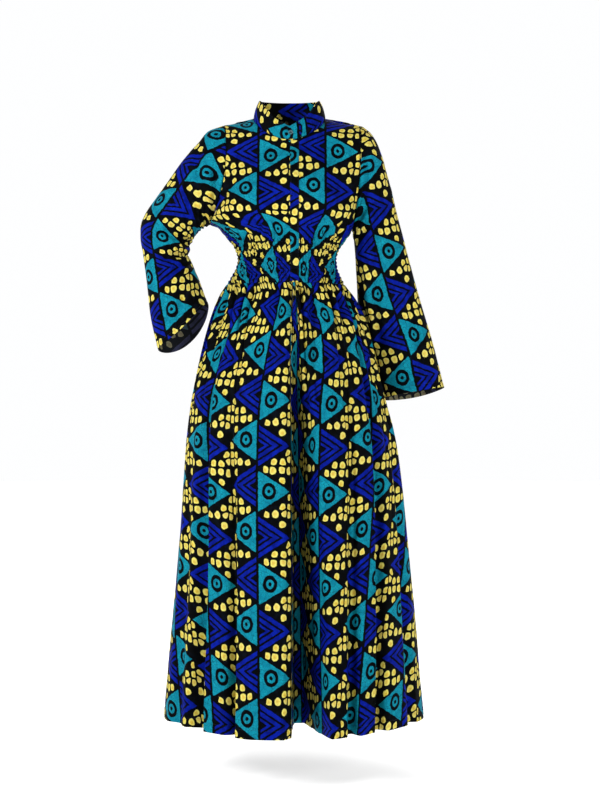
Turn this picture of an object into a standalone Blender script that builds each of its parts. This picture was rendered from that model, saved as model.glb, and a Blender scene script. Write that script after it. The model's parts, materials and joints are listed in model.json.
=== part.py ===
"""A long wax-print dress, as it stands when it is worn: stand collar with one button, front placket,
shirred waist, full gathered skirt and two bell sleeves. The right sleeve (the viewer's left) is bent
with its cuff by the hip, and the left sleeve hangs.

Metres, +Z up, the front faces -Y. The origin is where the wearer's shoulders hold the dress: midway
between the two points where the shoulder seams meet the collar. Every cloth piece is an open surface,
worked out from the tables of sections below, and a Solidify modifier gives it its wall, inwards.
"""

import math

import bmesh
import bpy
import numpy as np

# ---------------------------------------------------------------- driving sizes, in metres
WALL = 0.0012            # the cloth's wall
SEAM = 0.0003            # the gap between two pieces at a seam
LEANING_SEAM = 0.0008    # the same where the two walls lean towards each other, at the shoulders, neck and sides
WAIST_SEAM = 0.0014      # the same at the waist, where the walls slope outwards
FRONT_X = 0.0065         # where the two fronts meet
WAIST_Z = -0.401         # the seam between bodice and skirt
HEM_Z = -1.439           # the skirt's hem
NECK_X, NECK_WIDTH, NECK_FRONT, NECK_BACK = -0.006, 0.086, 0.084, 0.066   # the neck seam's centre and half axes
COLLAR_WIDTH, COLLAR_FRONT, COLLAR_BACK = 0.0725, 0.077, 0.056            # the same for the collar's top edge
COLLAR_OVERLAP_DEG = 11.0                                                 # how far the buttoned end runs past the front
PLACKET_WIDTH = 0.021
BUTTON_RADIUS, BUTTON_THICK, BUTTON_Z = 0.0055, 0.0022, -0.0490
FRONT_NECK_V, BACK_NECK_V, UNDERARM_V = 0.78, 0.89, 0.42   # the share of a bodice panel's rows below each point


class Table:
    """Rows of numbers with named columns, read anywhere between rows on a smooth curve that never overshoots."""

    def __init__(self, columns, rows):
        self.names = columns.split()
        self.rows = np.array(rows, float)

    def at(self, name, key):
        x, y = self.rows[:, 0], self.rows[:, self.names.index(name)]
        if x[0] > x[-1]:
            x, y = x[::-1], y[::-1]
        key = min(max(key, x[0]), x[-1])
        i = min(max(int(np.searchsorted(x, key)) - 1, 0), len(x) - 2)
        h, d = np.diff(x), np.diff(y) / np.diff(x)

        def slope(k):
            if k == 0 or k == len(x) - 1:
                return d[0] if k == 0 else d[-1]
            if d[k - 1] * d[k] <= 0:
                return 0.0
            w1, w2 = 2 * h[k] + h[k - 1], h[k] + 2 * h[k - 1]
            return (w1 + w2) / (w1 / d[k - 1] + w2 / d[k])

        t = (key - x[i]) / h[i]
        return float(
            (2 * t**3 - 3 * t**2 + 1) * y[i]
            + (t**3 - 2 * t**2 + t) * h[i] * slope(i)
            + (3 * t**2 - 2 * t**3) * y[i + 1]
            + (t**3 - t**2) * h[i] * slope(i + 1)
        )


# The body of the dress at each height: how far it reaches to each side, to the front and to the back.
BODY = Table(
    "z left right front back",
    [
        [-0.0650, -0.150, 0.150, -0.084, 0.098],
        [-0.1200, -0.160, 0.150, -0.113, 0.106],
        [-0.1850, -0.175, 0.148, -0.136, 0.104],
        [-0.2300, -0.190, 0.145, -0.134, 0.097],
        [-0.2568, -0.1956, 0.1435, -0.127, 0.092],
        [-0.2616, -0.1800, 0.1425, -0.125, 0.091],
        [-0.2760, -0.1656, 0.1400, -0.119, 0.088],
        [-0.2904, -0.1536, 0.1290, -0.112, 0.084],
        [-0.3048, -0.1416, 0.1200, -0.106, 0.081],
        [-0.3192, -0.1344, 0.1110, -0.101, 0.079],
        [-0.3410, -0.1290, 0.1056, -0.096, 0.078],
        [-0.3624, -0.1340, 0.1080, -0.096, 0.081],
        [-0.3840, -0.1460, 0.1170, -0.099, 0.087],
        [-0.4010, -0.1560, 0.1250, -0.104, 0.092],
        [-0.4368, -0.1740, 0.1480, -0.118, 0.108],
        [-0.4944, -0.1920, 0.1720, -0.137, 0.130],
        [-0.5808, -0.2150, 0.1950, -0.156, 0.152],
        [-0.6960, -0.2390, 0.2240, -0.176, 0.172],
        [-0.7536, -0.2470, 0.2400, -0.184, 0.180],
        [-0.8688, -0.2570, 0.2590, -0.197, 0.191],
        [-1.0992, -0.2760, 0.2830, -0.219, 0.205],
        [-1.3296, -0.2975, 0.3050, -0.241, 0.217],
        [-1.4390, -0.3065, 0.3160, -0.250, 0.222],
    ],
)

# The neck seam and the collar's top edge, by the angle round the neck from the front, in degrees.
NECK = Table(
    "angle seam top",
    [
        [0, -0.0650, -0.0310],
        [12, -0.0625, -0.0265],
        [28, -0.0535, -0.0120],
        [46, -0.0390, 0.0110],
        [60, -0.0265, 0.0280],
        [75, -0.0130, 0.0375],
        [90, -0.0035, 0.0410],
        [115, 0.0040, 0.0430],
        [145, 0.0095, 0.0450],
        [180, 0.0115, 0.0460],
    ],
)

# The sleeves, from the armhole seam (t 0) to the hem (t 1). Each section is a ring through its inner point
# and its outer point. y is its middle's depth, and depth its half depth. lean_x and lean_z tilt the ring's
# back half, and sag_x and sag_z move its front and back away from the straight line between the two points.
SLEEVE = {
    "right": Table(
        "t inner_x inner_z outer_x outer_z y depth lean_x lean_z sag_x sag_z",
        [
            [0.000, -0.1956, -0.2568, -0.1630, -0.0178, 0.000, 0.062, 0.000, 0.000, 0.0200, 0.000],
            [0.060, -0.2090, -0.2600, -0.1992, -0.0312, 0.002, 0.060, 0.000, 0.000, 0.0060, 0.000],
            [0.130, -0.2180, -0.2650, -0.2232, -0.0600, 0.005, 0.058, 0.000, 0.000, 0.0000, 0.000],
            [0.200, -0.2260, -0.2720, -0.2616, -0.1032, 0.009, 0.057, 0.000, 0.000, 0.0000, 0.000],
            [0.280, -0.2330, -0.2790, -0.2928, -0.1464, 0.014, 0.056, 0.000, 0.000, 0.0000, 0.000],
            [0.360, -0.2395, -0.2870, -0.3250, -0.1910, 0.019, 0.055, 0.000, 0.000, 0.0000, 0.000],
            [0.430, -0.2440, -0.2960, -0.3520, -0.2300, 0.022, 0.055, 0.000, 0.000, 0.0000, 0.000],
            [0.490, -0.2480, -0.3070, -0.3650, -0.2620, 0.022, 0.056, 0.000, 0.000, 0.0000, -0.002],
            [0.550, -0.2510, -0.3190, -0.3664, -0.2900, 0.020, 0.057, 0.000, 0.000, 0.0000, -0.004],
            [0.620, -0.2510, -0.3310, -0.3616, -0.3220, 0.015, 0.058, 0.002, -0.001, 0.0010, -0.006],
            [0.700, -0.2430, -0.3450, -0.3552, -0.3620, 0.007, 0.058, 0.006, -0.003, 0.0030, -0.009],
            [0.800, -0.2300, -0.3690, -0.3456, -0.4180, -0.003, 0.057, 0.009, -0.006, 0.0040, -0.012],
            [0.900, -0.2180, -0.3920, -0.3345, -0.4820, -0.012, 0.056, 0.013, -0.009, 0.0055, -0.015],
            [1.000, -0.2060, -0.4160, -0.3160, -0.5610, -0.020, 0.055, 0.017, -0.012, 0.0070, -0.018],
        ],
    ),
    "left": Table(
        "t inner_x inner_z outer_x outer_z y depth lean_x lean_z sag_x sag_z",
        [
            [0.000, 0.1435, -0.2700, 0.1656, -0.0192, 0.000, 0.062, 0.000, 0.000, 0.0070, 0.000],
            [0.045, 0.1455, -0.2790, 0.1860, -0.0312, 0.001, 0.061, 0.000, 0.000, 0.0050, 0.000],
            [0.090, 0.1470, -0.2890, 0.2010, -0.0540, 0.002, 0.060, 0.000, 0.000, 0.0020, 0.000],
            [0.150, 0.1485, -0.3020, 0.2136, -0.0888, 0.003, 0.058, 0.000, 0.000, 0.0000, 0.000],
            [0.230, 0.1500, -0.3180, 0.2304, -0.1464, 0.004, 0.056, 0.000, 0.000, 0.0000, 0.000],
            [0.320, 0.1515, -0.3380, 0.2472, -0.2130, 0.006, 0.055, 0.000, 0.000, 0.0000, 0.000],
            [0.420, 0.1540, -0.3700, 0.2660, -0.2790, 0.016, 0.056, 0.000, 0.000, 0.0000, 0.000],
            [0.520, 0.1575, -0.4130, 0.2850, -0.3460, 0.026, 0.058, 0.000, 0.000, 0.0000, 0.000],
            [0.640, 0.1625, -0.4640, 0.3053, -0.4173, 0.040, 0.061, 0.000, 0.000, 0.0000, 0.000],
            [0.760, 0.1760, -0.5260, 0.3283, -0.4918, 0.055, 0.065, 0.000, -0.002, 0.0000, 0.000],
            [0.880, 0.1950, -0.5980, 0.3510, -0.5719, 0.064, 0.069, 0.000, -0.005, 0.0000, 0.000],
            [1.000, 0.2170, -0.6740, 0.3701, -0.6470, 0.070, 0.073, 0.000, -0.008, 0.0000, -0.004],
        ],
    ),
}

# The skirt's folds, as lines that run down the cloth, from the wearer's right side seam to the left one. hem_x is
# where a line meets the hem, top_deg its angle at the waist (0 in the middle, 90 at the left side seam), out how
# far it stands out of the plain form at the hem (below 0 is a valley), and start_z the height where it begins.
FRONT_FOLDS = Table(
    "hem_x top_deg out start_z",
    [
        [-0.3065, -90, 0.000, -0.45],
        [-0.2880, -79, 0.005, -0.62],
        [-0.2680, -73, -0.010, -0.70],
        [-0.2420, -66, 0.007, -0.60],
        [-0.2060, -57, -0.022, -0.52],
        [-0.1960, -53, 0.009, -0.52],
        [-0.1560, -45, 0.003, -0.60],
        [-0.1330, -37, -0.025, -0.45],
        [-0.1230, -33, 0.011, -0.45],
        [-0.0800, -22, 0.014, -0.55],
        [-0.0180, -6, 0.010, -0.50],
        [0.0010, 0.0, -0.012, -0.47],
        [0.0105, 1.2, -0.148, -0.47],
        [0.0470, 3.2, -0.155, -0.47],
        [0.0580, 4.4, -0.014, -0.47],
        [0.0790, 13, 0.010, -0.50],
        [0.1260, 33, 0.004, -0.60],
        [0.1450, 41, -0.025, -0.45],
        [0.1550, 45, 0.006, -0.45],
        [0.1900, 54, 0.002, -0.60],
        [0.2060, 60, -0.020, -0.48],
        [0.2160, 64, 0.011, -0.48],
        [0.2560, 73, 0.008, -0.60],
        [0.2820, 79, -0.013, -0.55],
        [0.2910, 83, 0.003, -0.60],
        [0.3160, 90, 0.000, -0.45],
    ],
)
BACK_FOLDS = Table(
    "hem_x top_deg out start_z",
    [
        [-0.3065, -90, 0.000, -0.45],
        [-0.2860, -80, 0.006, -0.60],
        [-0.2640, -72, -0.018, -0.48],
        [-0.2500, -67, 0.010, -0.48],
        [-0.2160, -57, 0.006, -0.60],
        [-0.1900, -50, -0.034, -0.46],
        [-0.1740, -45, 0.012, -0.46],
        [-0.1240, -33, 0.008, -0.58],
        [-0.1010, -26, -0.042, -0.46],
        [-0.0840, -21, 0.013, -0.46],
        [-0.0340, -9, 0.008, -0.60],
        [-0.0100, -3, -0.048, -0.46],
        [0.0080, 3, 0.014, -0.46],
        [0.0600, 16, 0.010, -0.58],
        [0.0830, 22, -0.038, -0.46],
        [0.0990, 27, 0.012, -0.46],
        [0.1480, 38, 0.006, -0.60],
        [0.1700, 44, -0.032, -0.46],
        [0.1850, 49, 0.012, -0.46],
        [0.2250, 59, 0.005, -0.60],
        [0.2440, 65, -0.022, -0.48],
        [0.2570, 69, 0.009, -0.48],
        [0.2820, 78, -0.006, -0.60],
        [0.3160, 90, 0.000, -0.45],
    ],
)


# ---------------------------------------------------------------- the forms
def mix(a, b, t):
    return a + (b - a) * t


def eased(t):
    t = min(max(t, 0.0), 1.0)
    return t * t * (3 - 2 * t)


def side_name(side):
    return "left" if side > 0 else "right"


def reach(side, z):
    """How far the dress reaches at this height to the wearer's left (side 1) or right (side -1)."""
    return BODY.at("right" if side > 0 else "left", z)


def neck_ring(angle, width, front, back, z):
    """A point of a ring round the neck. angle is from the front, above 0 towards the wearer's left."""
    a = math.radians(angle)
    deep = front if math.cos(a) > 0 else back
    return np.array([NECK_X + width * math.sin(a), -deep * math.cos(a), z])


def neck_seam(angle):
    return neck_ring(angle, NECK_WIDTH, NECK_FRONT, NECK_BACK, NECK.at("seam", abs(angle)))


def front_angle():
    """The angle round the neck seam at which the two fronts meet."""
    return math.degrees(math.asin((FRONT_X - NECK_X) / NECK_WIDTH))


def sleeve_point(side, t, around):
    """A point of a sleeve: t along it, and around its section, 0 at the outer point, a quarter at the back."""
    table = SLEEVE[side_name(side)]
    inner = np.array([table.at("inner_x", t), 0, table.at("inner_z", t)])
    outer = np.array([table.at("outer_x", t), 0, table.at("outer_z", t)])
    a = 2 * math.pi * around
    c, s = math.cos(a), math.sin(a)
    lean = np.array([table.at("lean_x", t), table.at("depth", t), table.at("lean_z", t)])
    sag = np.array([table.at("sag_x", t), 0, table.at("sag_z", t)])
    middle = (inner + outer) / 2 + np.array([0, table.at("y", t), 0])
    return middle + (outer - inner) / 2 * c + lean * s + sag * s * s


def bodice_inner(side, face, v):
    """The panel's edge along the middle of the body, then along the neck seam to the shoulder."""
    top = FRONT_NECK_V if face == "front" else BACK_NECK_V
    middle = front_angle() if face == "front" else 180.0 * side
    if v <= top:
        neck = neck_seam(middle)
        z = mix(WAIST_Z, neck[2], v / top)
        x = FRONT_X if face == "front" else neck[0]
        bottom = BODY.at(face, max(z, -9))
        y = mix(bottom, neck[1], eased((z + 0.105) / (neck[2] + 0.105))) if z > -0.105 else bottom
        return np.array([x, y, z])
    return neck_seam(mix(middle, 90.0 * side, (v - top) / (1 - top)))


def bodice_outer(side, face, v):
    """The panel's edge up the side seam, then round the armhole to the shoulder."""
    under = sleeve_point(side, 0, 0.5)
    if v <= UNDERARM_V:
        z = mix(WAIST_Z, under[2], v / UNDERARM_V)
        return np.array([reach(side, z), 0.0, z])
    share = (v - UNDERARM_V) / (1 - UNDERARM_V)
    return sleeve_point(side, 0, 0.5 + 0.5 * share if face == "front" else 0.5 - 0.5 * share)


def bodice_point(side, face, u, v):
    """A point of a half bodice: u from the middle to the side, v from the waist to the shoulder."""
    start, end = bodice_inner(side, face, v), bodice_outer(side, face, v)
    across = end - start
    up = eased((v - UNDERARM_V) / (1 - UNDERARM_V))
    full = math.exp(-(((v - 0.50) / 0.16) ** 2)) if face == "front" else 0.35 * math.exp(-(((v - 0.62) / 0.2) ** 2))
    round_in = np.array([mix(0.552, 0.333, up) + 0.10 * full, mix(0.0, 0.333, up**2), mix(0.0, 0.333, up)])
    round_out = np.array([mix(0.0, 0.333, up), mix(0.552, 0.333, up) + 0.30 * full, mix(0.0, 0.333, up)])
    a, b = start + across * round_in, end - across * round_out
    w = 1 - u
    return w**3 * start + 3 * w * w * u * a + 3 * w * u * u * b + u**3 * end


def skirt_point(face, place, z):
    """A point of the skirt at this height. place counts the fold lines, and 2.5 is midway from line 2 to line 3."""
    folds = FRONT_FOLDS if face == "front" else BACK_FOLDS
    share = (WAIST_Z - z) / (WAIST_Z - HEM_Z)

    def line(k):
        hem_x, top, out, start = folds.rows[k]
        wide = abs(reach(1 if hem_x > 0 else -1, HEM_Z))
        hem = math.degrees(math.asin(max(-1.0, min(1.0, hem_x / wide))))
        grown = min(max((start - z) / (start - HEM_Z), 0.0), 1.0)
        return mix(top, hem, share), out * grown**0.8

    k = min(int(place), len(folds.rows) - 2)
    t = place - k
    (a0, d0), (a1, d1) = line(k), line(k + 1)
    angle, out = math.radians(mix(a0, a1, t)), mix(d0, d1, eased(t))
    wide, deep = abs(reach(1 if angle > 0 else -1, z)), abs(BODY.at(face, z))
    toward = -1 if face == "front" else 1
    point = np.array([wide * math.sin(angle), toward * deep * math.cos(angle), z])
    normal = np.array([deep * math.sin(angle), toward * wide * math.cos(angle), 0.0])
    return point + normal / np.linalg.norm(normal) * out


def collar_point(angle, up, out=0.0):
    """A point of the collar: angle round the neck, and up from its seam to its top edge."""
    seam = neck_seam(angle) + np.array([0, 0, LEANING_SEAM])
    top = neck_ring(angle, COLLAR_WIDTH, COLLAR_FRONT, COLLAR_BACK, NECK.at("top", abs(angle)))
    point = mix(seam, top, up)
    away = np.array([point[0] - NECK_X, point[1], 0.0])
    bow = 0.003 * math.sin(math.pi * up)
    return point + away / np.linalg.norm(away) * (bow + out)


# ---------------------------------------------------------------- building
def clear_scene():
    for obj in list(bpy.data.objects):
        bpy.data.objects.remove(obj)


def material(name, colour, roughness, metallic=0.0):
    made = bpy.data.materials.new(name)
    made.use_nodes = True
    shader = made.node_tree.nodes["Principled BSDF"]
    shader.inputs["Base Color"].default_value = (*colour, 1.0)
    shader.inputs["Roughness"].default_value = roughness
    shader.inputs["Metallic"].default_value = metallic
    return made


def loft(name, rows, collection, finish, closed=False, inward=None, wall=WALL):
    """An open surface through rows of points, made a wall by Solidify, inwards."""
    rows = [[np.asarray(p, float) for p in row] for row in rows]
    n = len(rows[0])
    mesh = bpy.data.meshes.new(name)
    points = [tuple(p) for row in rows for p in row]
    faces = []
    for i in range(len(rows) - 1):
        for j in range(n if closed else n - 1):
            k = (j + 1) % n
            faces.append((i * n + j, i * n + k, (i + 1) * n + k, (i + 1) * n + j))
    mesh.from_pydata(points, [], faces)
    bm = bmesh.new()
    bm.from_mesh(mesh)
    bmesh.ops.remove_doubles(bm, verts=bm.verts, dist=1e-6)
    bmesh.ops.recalc_face_normals(bm, faces=bm.faces)
    centre = np.mean(points, axis=0) if inward is None else np.asarray(inward, float)
    facing = sum(f.calc_area() * float(np.dot(f.normal, np.array(f.calc_center_median()) - centre)) for f in bm.faces)
    if facing < 0:
        bmesh.ops.reverse_faces(bm, faces=bm.faces)
    bm.to_mesh(mesh)
    bm.free()
    obj = bpy.data.objects.new(name, mesh)
    collection.objects.link(obj)
    obj.data.materials.append(finish)
    cloth = obj.modifiers.new("wall", "SOLIDIFY")
    cloth.thickness, cloth.offset, cloth.use_even_offset = wall, -1.0, True
    cloth.thickness_clamp = 0.0
    obj.data.shade_smooth()
    return obj


def spread(n, first=0.0, last=1.0):
    return [mix(first, last, i / (n - 1)) for i in range(n)]


def pulled(point, towards, by):
    """The point moved a set distance towards another one, to leave a seam's gap."""
    step = towards - point
    return point + step / np.linalg.norm(step) * by


def bodice_grid(side, face, across, upward):
    """Rows of points of a half bodice, its edges drawn back by half a seam's gap."""
    rows = []
    for v in upward:
        row = [bodice_point(side, face, u, v) for u in across]
        if face == "front" and v <= FRONT_NECK_V:
            row[0] = pulled(row[0], row[1], SEAM)
        if v <= UNDERARM_V:
            row[-1] = pulled(row[-1], row[-2], SEAM)
        rows.append(row)
    rows[-1] = [pulled(p, q, LEANING_SEAM) for p, q in zip(rows[-1], rows[-2])]
    rows[0] = [p + np.array([0, 0, WAIST_SEAM / 2]) for p in rows[0]]
    return rows


BODICE_COLUMNS = 8
BODICE_ROWS = [0.0, 0.08, 0.16, 0.24, 0.32, 0.38, UNDERARM_V, 0.47, 0.54, 0.62, 0.70]
BODICE_ROWS += [FRONT_NECK_V, 0.82, 0.86, BACK_NECK_V, 0.92, 0.96, 1.0]


def neck_corners():
    """The angles round the neck at which the panels' rows end, so that the collar's flats match theirs."""
    front = [mix(front_angle(), 90.0, (v - FRONT_NECK_V) / (1 - FRONT_NECK_V)) for v in BODICE_ROWS if v >= FRONT_NECK_V]
    back = [mix(180.0, 90.0, (v - BACK_NECK_V) / (1 - BACK_NECK_V)) for v in BODICE_ROWS if v >= BACK_NECK_V]
    left = front + back[::-1][1:]
    across = [mix(front_angle(), -90.0, (v - FRONT_NECK_V) / (1 - FRONT_NECK_V)) for v in BODICE_ROWS if v >= FRONT_NECK_V]
    right = [-a for a in back[:-1]] + across[::-1]
    return left, right[1:]


def make_bodice(collection, finish):
    middle = np.array([0.0, -0.01, -0.20])
    for side in (-1, 1):
        rows = bodice_grid(side, "front", spread(BODICE_COLUMNS), BODICE_ROWS)
        loft(f"bodice_front_{side_name(side)}", rows, collection, finish, inward=middle)
    halves = {side: bodice_grid(side, "back", spread(BODICE_COLUMNS), BODICE_ROWS) for side in (-1, 1)}
    mesh_rows = [list(reversed(right)) for right in halves[-1]]
    # The two halves share the line down the middle of the back, and part at the neck seam.
    obj = loft("bodice_back", mesh_rows, collection, finish, inward=middle)
    other = loft("half", halves[1], collection, finish, inward=middle)
    bm = bmesh.new()
    bm.from_mesh(obj.data)
    bm.from_mesh(other.data)
    bmesh.ops.remove_doubles(bm, verts=bm.verts, dist=1e-5)
    bm.to_mesh(obj.data)
    bm.free()
    bpy.data.objects.remove(other)


def flat_panel(side, offset, v):
    """A point on the flats of a front panel, at a set distance beside the line where the two fronts meet."""
    k = max(i for i, low in enumerate(BODICE_ROWS[:-1]) if low <= v)
    share = (v - BODICE_ROWS[k]) / (BODICE_ROWS[k + 1] - BODICE_ROWS[k])
    ends = []
    for u in (0.0, 1.0 / (BODICE_COLUMNS - 1)):
        low, high = (bodice_point(side, "front", u, BODICE_ROWS[i]) for i in (k, k + 1))
        ends.append(mix(low, high, share))
    return mix(ends[0], ends[1], offset / np.linalg.norm(ends[1] - ends[0]))


def make_placket(collection, finish):
    """The strip over the line where the fronts meet: their own points, moved out."""
    half = PLACKET_WIDTH / 2
    levels = [0.004] + [v for v in BODICE_ROWS if 0.01 < v < FRONT_NECK_V] + [FRONT_NECK_V - 0.006]
    rows = []
    for v in levels:
        right, left = flat_panel(-1, half, v), flat_panel(1, half, v)
        middle = (flat_panel(-1, 0.0, v) + flat_panel(1, 0.0, v)) / 2
        above, below = flat_panel(1, 0.0, min(v + 0.01, FRONT_NECK_V - 0.001)), flat_panel(1, 0.0, max(v - 0.01, 0.0))
        out = np.cross(left - right, above - below)
        out *= (WALL + 2 * SEAM) / np.linalg.norm(out)
        rows.append([right + out, middle + out * 1.1, left + out])
    loft("placket", rows, collection, finish, inward=(0, 0.2, -0.2))


def make_collar(collection, finish):
    """The stand collar, from its under end round the neck to the buttoned end, which laps over on the outside."""
    start = front_angle()
    under, over = start + 1.0, start + COLLAR_OVERLAP_DEG
    left, right = neck_corners()
    rows = []
    for up in (0.0, 0.35, 0.7, 1.0):
        row = [collar_point(a, up) for a in [under, *left[1:]]]
        for a in [*right, start + 5, over]:
            # The lap starts to stand off before the front, and clears the under end by a seam's gap.
            lap = eased((a + 26.0) / 26.0) * (WALL + 2 * SEAM + 0.0006)
            corner = 0.0 if a < start + 5 else (up * 0.0035 if a < over else up * 0.0075)
            row.append(collar_point(a, up, lap) - np.array([0, 0, corner * up]))
        rows.append(row)
    loft("collar", rows, collection, finish, inward=(NECK_X, 0, 0))


def make_button(collection, finish):
    """A four-hole button with a raised rim, turned on its own axis and laid on the collar's lapped end."""
    r, t = BUTTON_RADIUS, BUTTON_THICK
    profile = [(0.0, t * 0.62), (r * 0.52, t * 0.62), (r * 0.66, t * 0.80), (r * 0.80, t), (r * 0.93, t * 0.92), (r, t * 0.60), (r * 0.96, t * 0.22), (r * 0.80, 0.0), (0.0, 0.0)]
    mesh = bpy.data.meshes.new("collar_button")
    mesh.from_pydata([(x, 0, z) for x, z in profile], [(i, i + 1) for i in range(len(profile) - 1)], [])
    turned = bpy.data.objects.new("collar_button", mesh)
    collection.objects.link(turned)
    turned.data.materials.append(finish)
    screw = turned.modifiers.new("turn", "SCREW")
    screw.steps = screw.render_steps = 24
    screw.use_merge_vertices, screw.merge_threshold = True, 0.00001
    screw.use_smooth_shade = True
    weld = turned.modifiers.new("weld", "WELD")
    weld.merge_threshold = 0.00001
    cutters = bpy.data.collections.new("cutters")
    bpy.context.scene.collection.children.link(cutters)
    bm = bmesh.new()
    for k in range(4):
        a = math.radians(45 + 90 * k)
        ring = bmesh.ops.create_cone(bm, cap_ends=True, segments=10, radius1=0.00075, radius2=0.00075, depth=0.01)["verts"]
        bmesh.ops.translate(bm, verts=ring, vec=(0.0016 * math.cos(a), 0.0016 * math.sin(a), 0))
    holes_mesh = bpy.data.meshes.new("button_holes")
    bm.to_mesh(holes_mesh)
    bm.free()
    holes = bpy.data.objects.new("button_holes", holes_mesh)
    cutters.objects.link(holes)
    holes.hide_render, holes.display_type = True, "WIRE"
    cut = turned.modifiers.new("holes", "BOOLEAN")
    cut.object, cut.operation, cut.solver = holes, "DIFFERENCE", "EXACT"
    # It sits on the lapped end, square to the collar there.
    up = 0.46
    a = 2.4
    lap = WALL + 2 * SEAM + 0.0006
    here = collar_point(a, up, lap)
    rise = collar_point(a, up + 0.1, lap) - collar_point(a, up - 0.1, lap)
    along = collar_point(a + 3, up, lap) - collar_point(a - 3, up, lap)
    normal = np.cross(rise, along)
    normal /= np.linalg.norm(normal)
    if normal[1] > 0:
        normal = -normal
    from mathutils import Vector
    place = Vector(here + normal * (SEAM + 0.0002))
    turn = Vector(normal).to_track_quat("Z", "Y")
    for obj in (turned, holes):
        obj.rotation_mode = "QUATERNION"
        obj.rotation_quaternion = turn
        obj.location = place


SLEEVE_ROWS = {
    "right": [0.0015, 0.03, 0.06, 0.13, 0.20, 0.28, 0.36, 0.43, 0.49, 0.55, 0.62, 0.70, 0.80, 0.90, 1.0],
    "left": [0.0015, 0.025, 0.05, 0.09, 0.15, 0.23, 0.32, 0.42, 0.52, 0.64, 0.76, 0.88, 1.0],
}


def armhole_corners():
    """How far round the armhole each row of the panels ends, so that the sleeve's flats match theirs."""
    shares = [(v - UNDERARM_V) / (1 - UNDERARM_V) for v in BODICE_ROWS if v >= UNDERARM_V]
    return sorted({0.5 - 0.5 * s for s in shares} | {0.5 + 0.5 * s for s in shares[:-1]})


def make_sleeves(collection, finish):
    for side in (-1, 1):
        name = side_name(side)
        rows = [[sleeve_point(side, t, around) for around in armhole_corners()] for t in SLEEVE_ROWS[name]]
        # A tube faces away from its own middle line, so each ring is judged by the tube's mean.
        obj = loft(f"sleeve_{name}", rows, collection, finish, closed=True)
        face_out(obj, side)


def face_out(obj, side):
    """Turns a sleeve's faces away from its middle line."""
    bm = bmesh.new()
    bm.from_mesh(obj.data)
    facing = 0.0
    table = SLEEVE[side_name(side)]
    middles = [(sleeve_point(side, t, 0.0) + sleeve_point(side, t, 0.5)) / 2 for t in spread(21)]
    for face in bm.faces:
        centre = np.array(face.calc_center_median())
        nearest = min(middles, key=lambda m: np.linalg.norm(m - centre))
        facing += face.calc_area() * float(np.dot(np.array(face.normal), centre - nearest))
    if facing < 0:
        bmesh.ops.reverse_faces(bm, faces=bm.faces)
    bm.to_mesh(obj.data)
    bm.free()


SKIRT_ROWS = [WAIST_Z - WAIST_SEAM / 2, -0.43, -0.47, -0.52, -0.60, -0.70, -0.82, -0.96, -1.12, -1.28, HEM_Z]


def make_skirt(collection, finish):
    for face, folds in (("front", FRONT_FOLDS), ("back", BACK_FOLDS)):
        last = len(folds.rows) - 1
        places = [k / 2 for k in range(2 * last + 1)]
        inwards = 1 if face == "front" else -1
        rows = []
        for z in SKIRT_ROWS:
            row = [skirt_point(face, p, z) for p in places]
            for end in (0, -1):
                row[end] = row[end] - np.array([0, inwards * LEANING_SEAM / 2, 0])
            rows.append(row)
        loft(f"skirt_{face}", rows, collection, finish, inward=(0, 0.6 * inwards, -0.9))


def main():
    clear_scene()
    dress = bpy.data.collections.new("wax_print_dress")
    bpy.context.scene.collection.children.link(dress)
    cloth = material("printed_cotton", (0.03, 0.07, 0.28), 0.75)
    shell = material("dark_shell", (0.13, 0.14, 0.16), 0.35)
    make_bodice(dress, cloth)
    make_placket(dress, cloth)
    make_collar(dress, cloth)
    make_button(dress, shell)
    make_sleeves(dress, cloth)
    make_skirt(dress, cloth)


main()
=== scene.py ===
import json
import math

import bmesh
import bpy
import numpy as np
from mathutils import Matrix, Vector

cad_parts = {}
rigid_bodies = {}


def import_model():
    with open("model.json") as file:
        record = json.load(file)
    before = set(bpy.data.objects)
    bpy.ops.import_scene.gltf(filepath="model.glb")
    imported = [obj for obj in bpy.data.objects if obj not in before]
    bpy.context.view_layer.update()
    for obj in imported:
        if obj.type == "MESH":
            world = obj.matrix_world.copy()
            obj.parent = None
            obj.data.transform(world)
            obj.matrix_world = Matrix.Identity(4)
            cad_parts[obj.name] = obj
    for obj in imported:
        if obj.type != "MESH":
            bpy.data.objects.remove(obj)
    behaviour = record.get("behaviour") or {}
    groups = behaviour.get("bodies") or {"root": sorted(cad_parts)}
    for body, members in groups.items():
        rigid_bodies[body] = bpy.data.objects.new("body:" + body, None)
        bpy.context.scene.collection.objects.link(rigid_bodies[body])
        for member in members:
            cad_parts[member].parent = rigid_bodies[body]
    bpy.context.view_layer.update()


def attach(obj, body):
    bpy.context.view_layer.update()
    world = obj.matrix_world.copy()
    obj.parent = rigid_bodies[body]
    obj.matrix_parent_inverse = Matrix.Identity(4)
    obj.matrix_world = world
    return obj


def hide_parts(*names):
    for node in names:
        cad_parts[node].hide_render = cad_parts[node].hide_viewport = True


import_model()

# ---------------------------------------------------------------- the same sizes and tables as the solids
WALL = 0.0012
FRONT_X = 0.0065
WAIST_Z = -0.401
HEM_Z = -1.439
NECK_X, NECK_WIDTH, NECK_FRONT, NECK_BACK = -0.006, 0.086, 0.084, 0.066
COLLAR_WIDTH, COLLAR_FRONT, COLLAR_BACK = 0.0725, 0.077, 0.056
COLLAR_OVERLAP_DEG = 11.0
PLACKET_WIDTH = 0.021
BUTTON_RADIUS, BUTTON_THICK = 0.0055, 0.0022
FRONT_NECK_V, BACK_NECK_V, UNDERARM_V = 0.78, 0.89, 0.42

# The cloth itself.
CLOTH = 0.0008           # how thick the modelled cloth is
GAP = 0.0003             # half of what shows of a seam
WAIST_FULLNESS = 2.3     # how many times its own length the waist's gathers take up
PLEAT_CLOTH = 0.345      # how much cloth the deep fold in the front takes, which is 4 strips and a little of the print
STRIP, REPEAT = 0.084, 0.210   # the print's strips: their width, and the height after which they repeat


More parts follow.
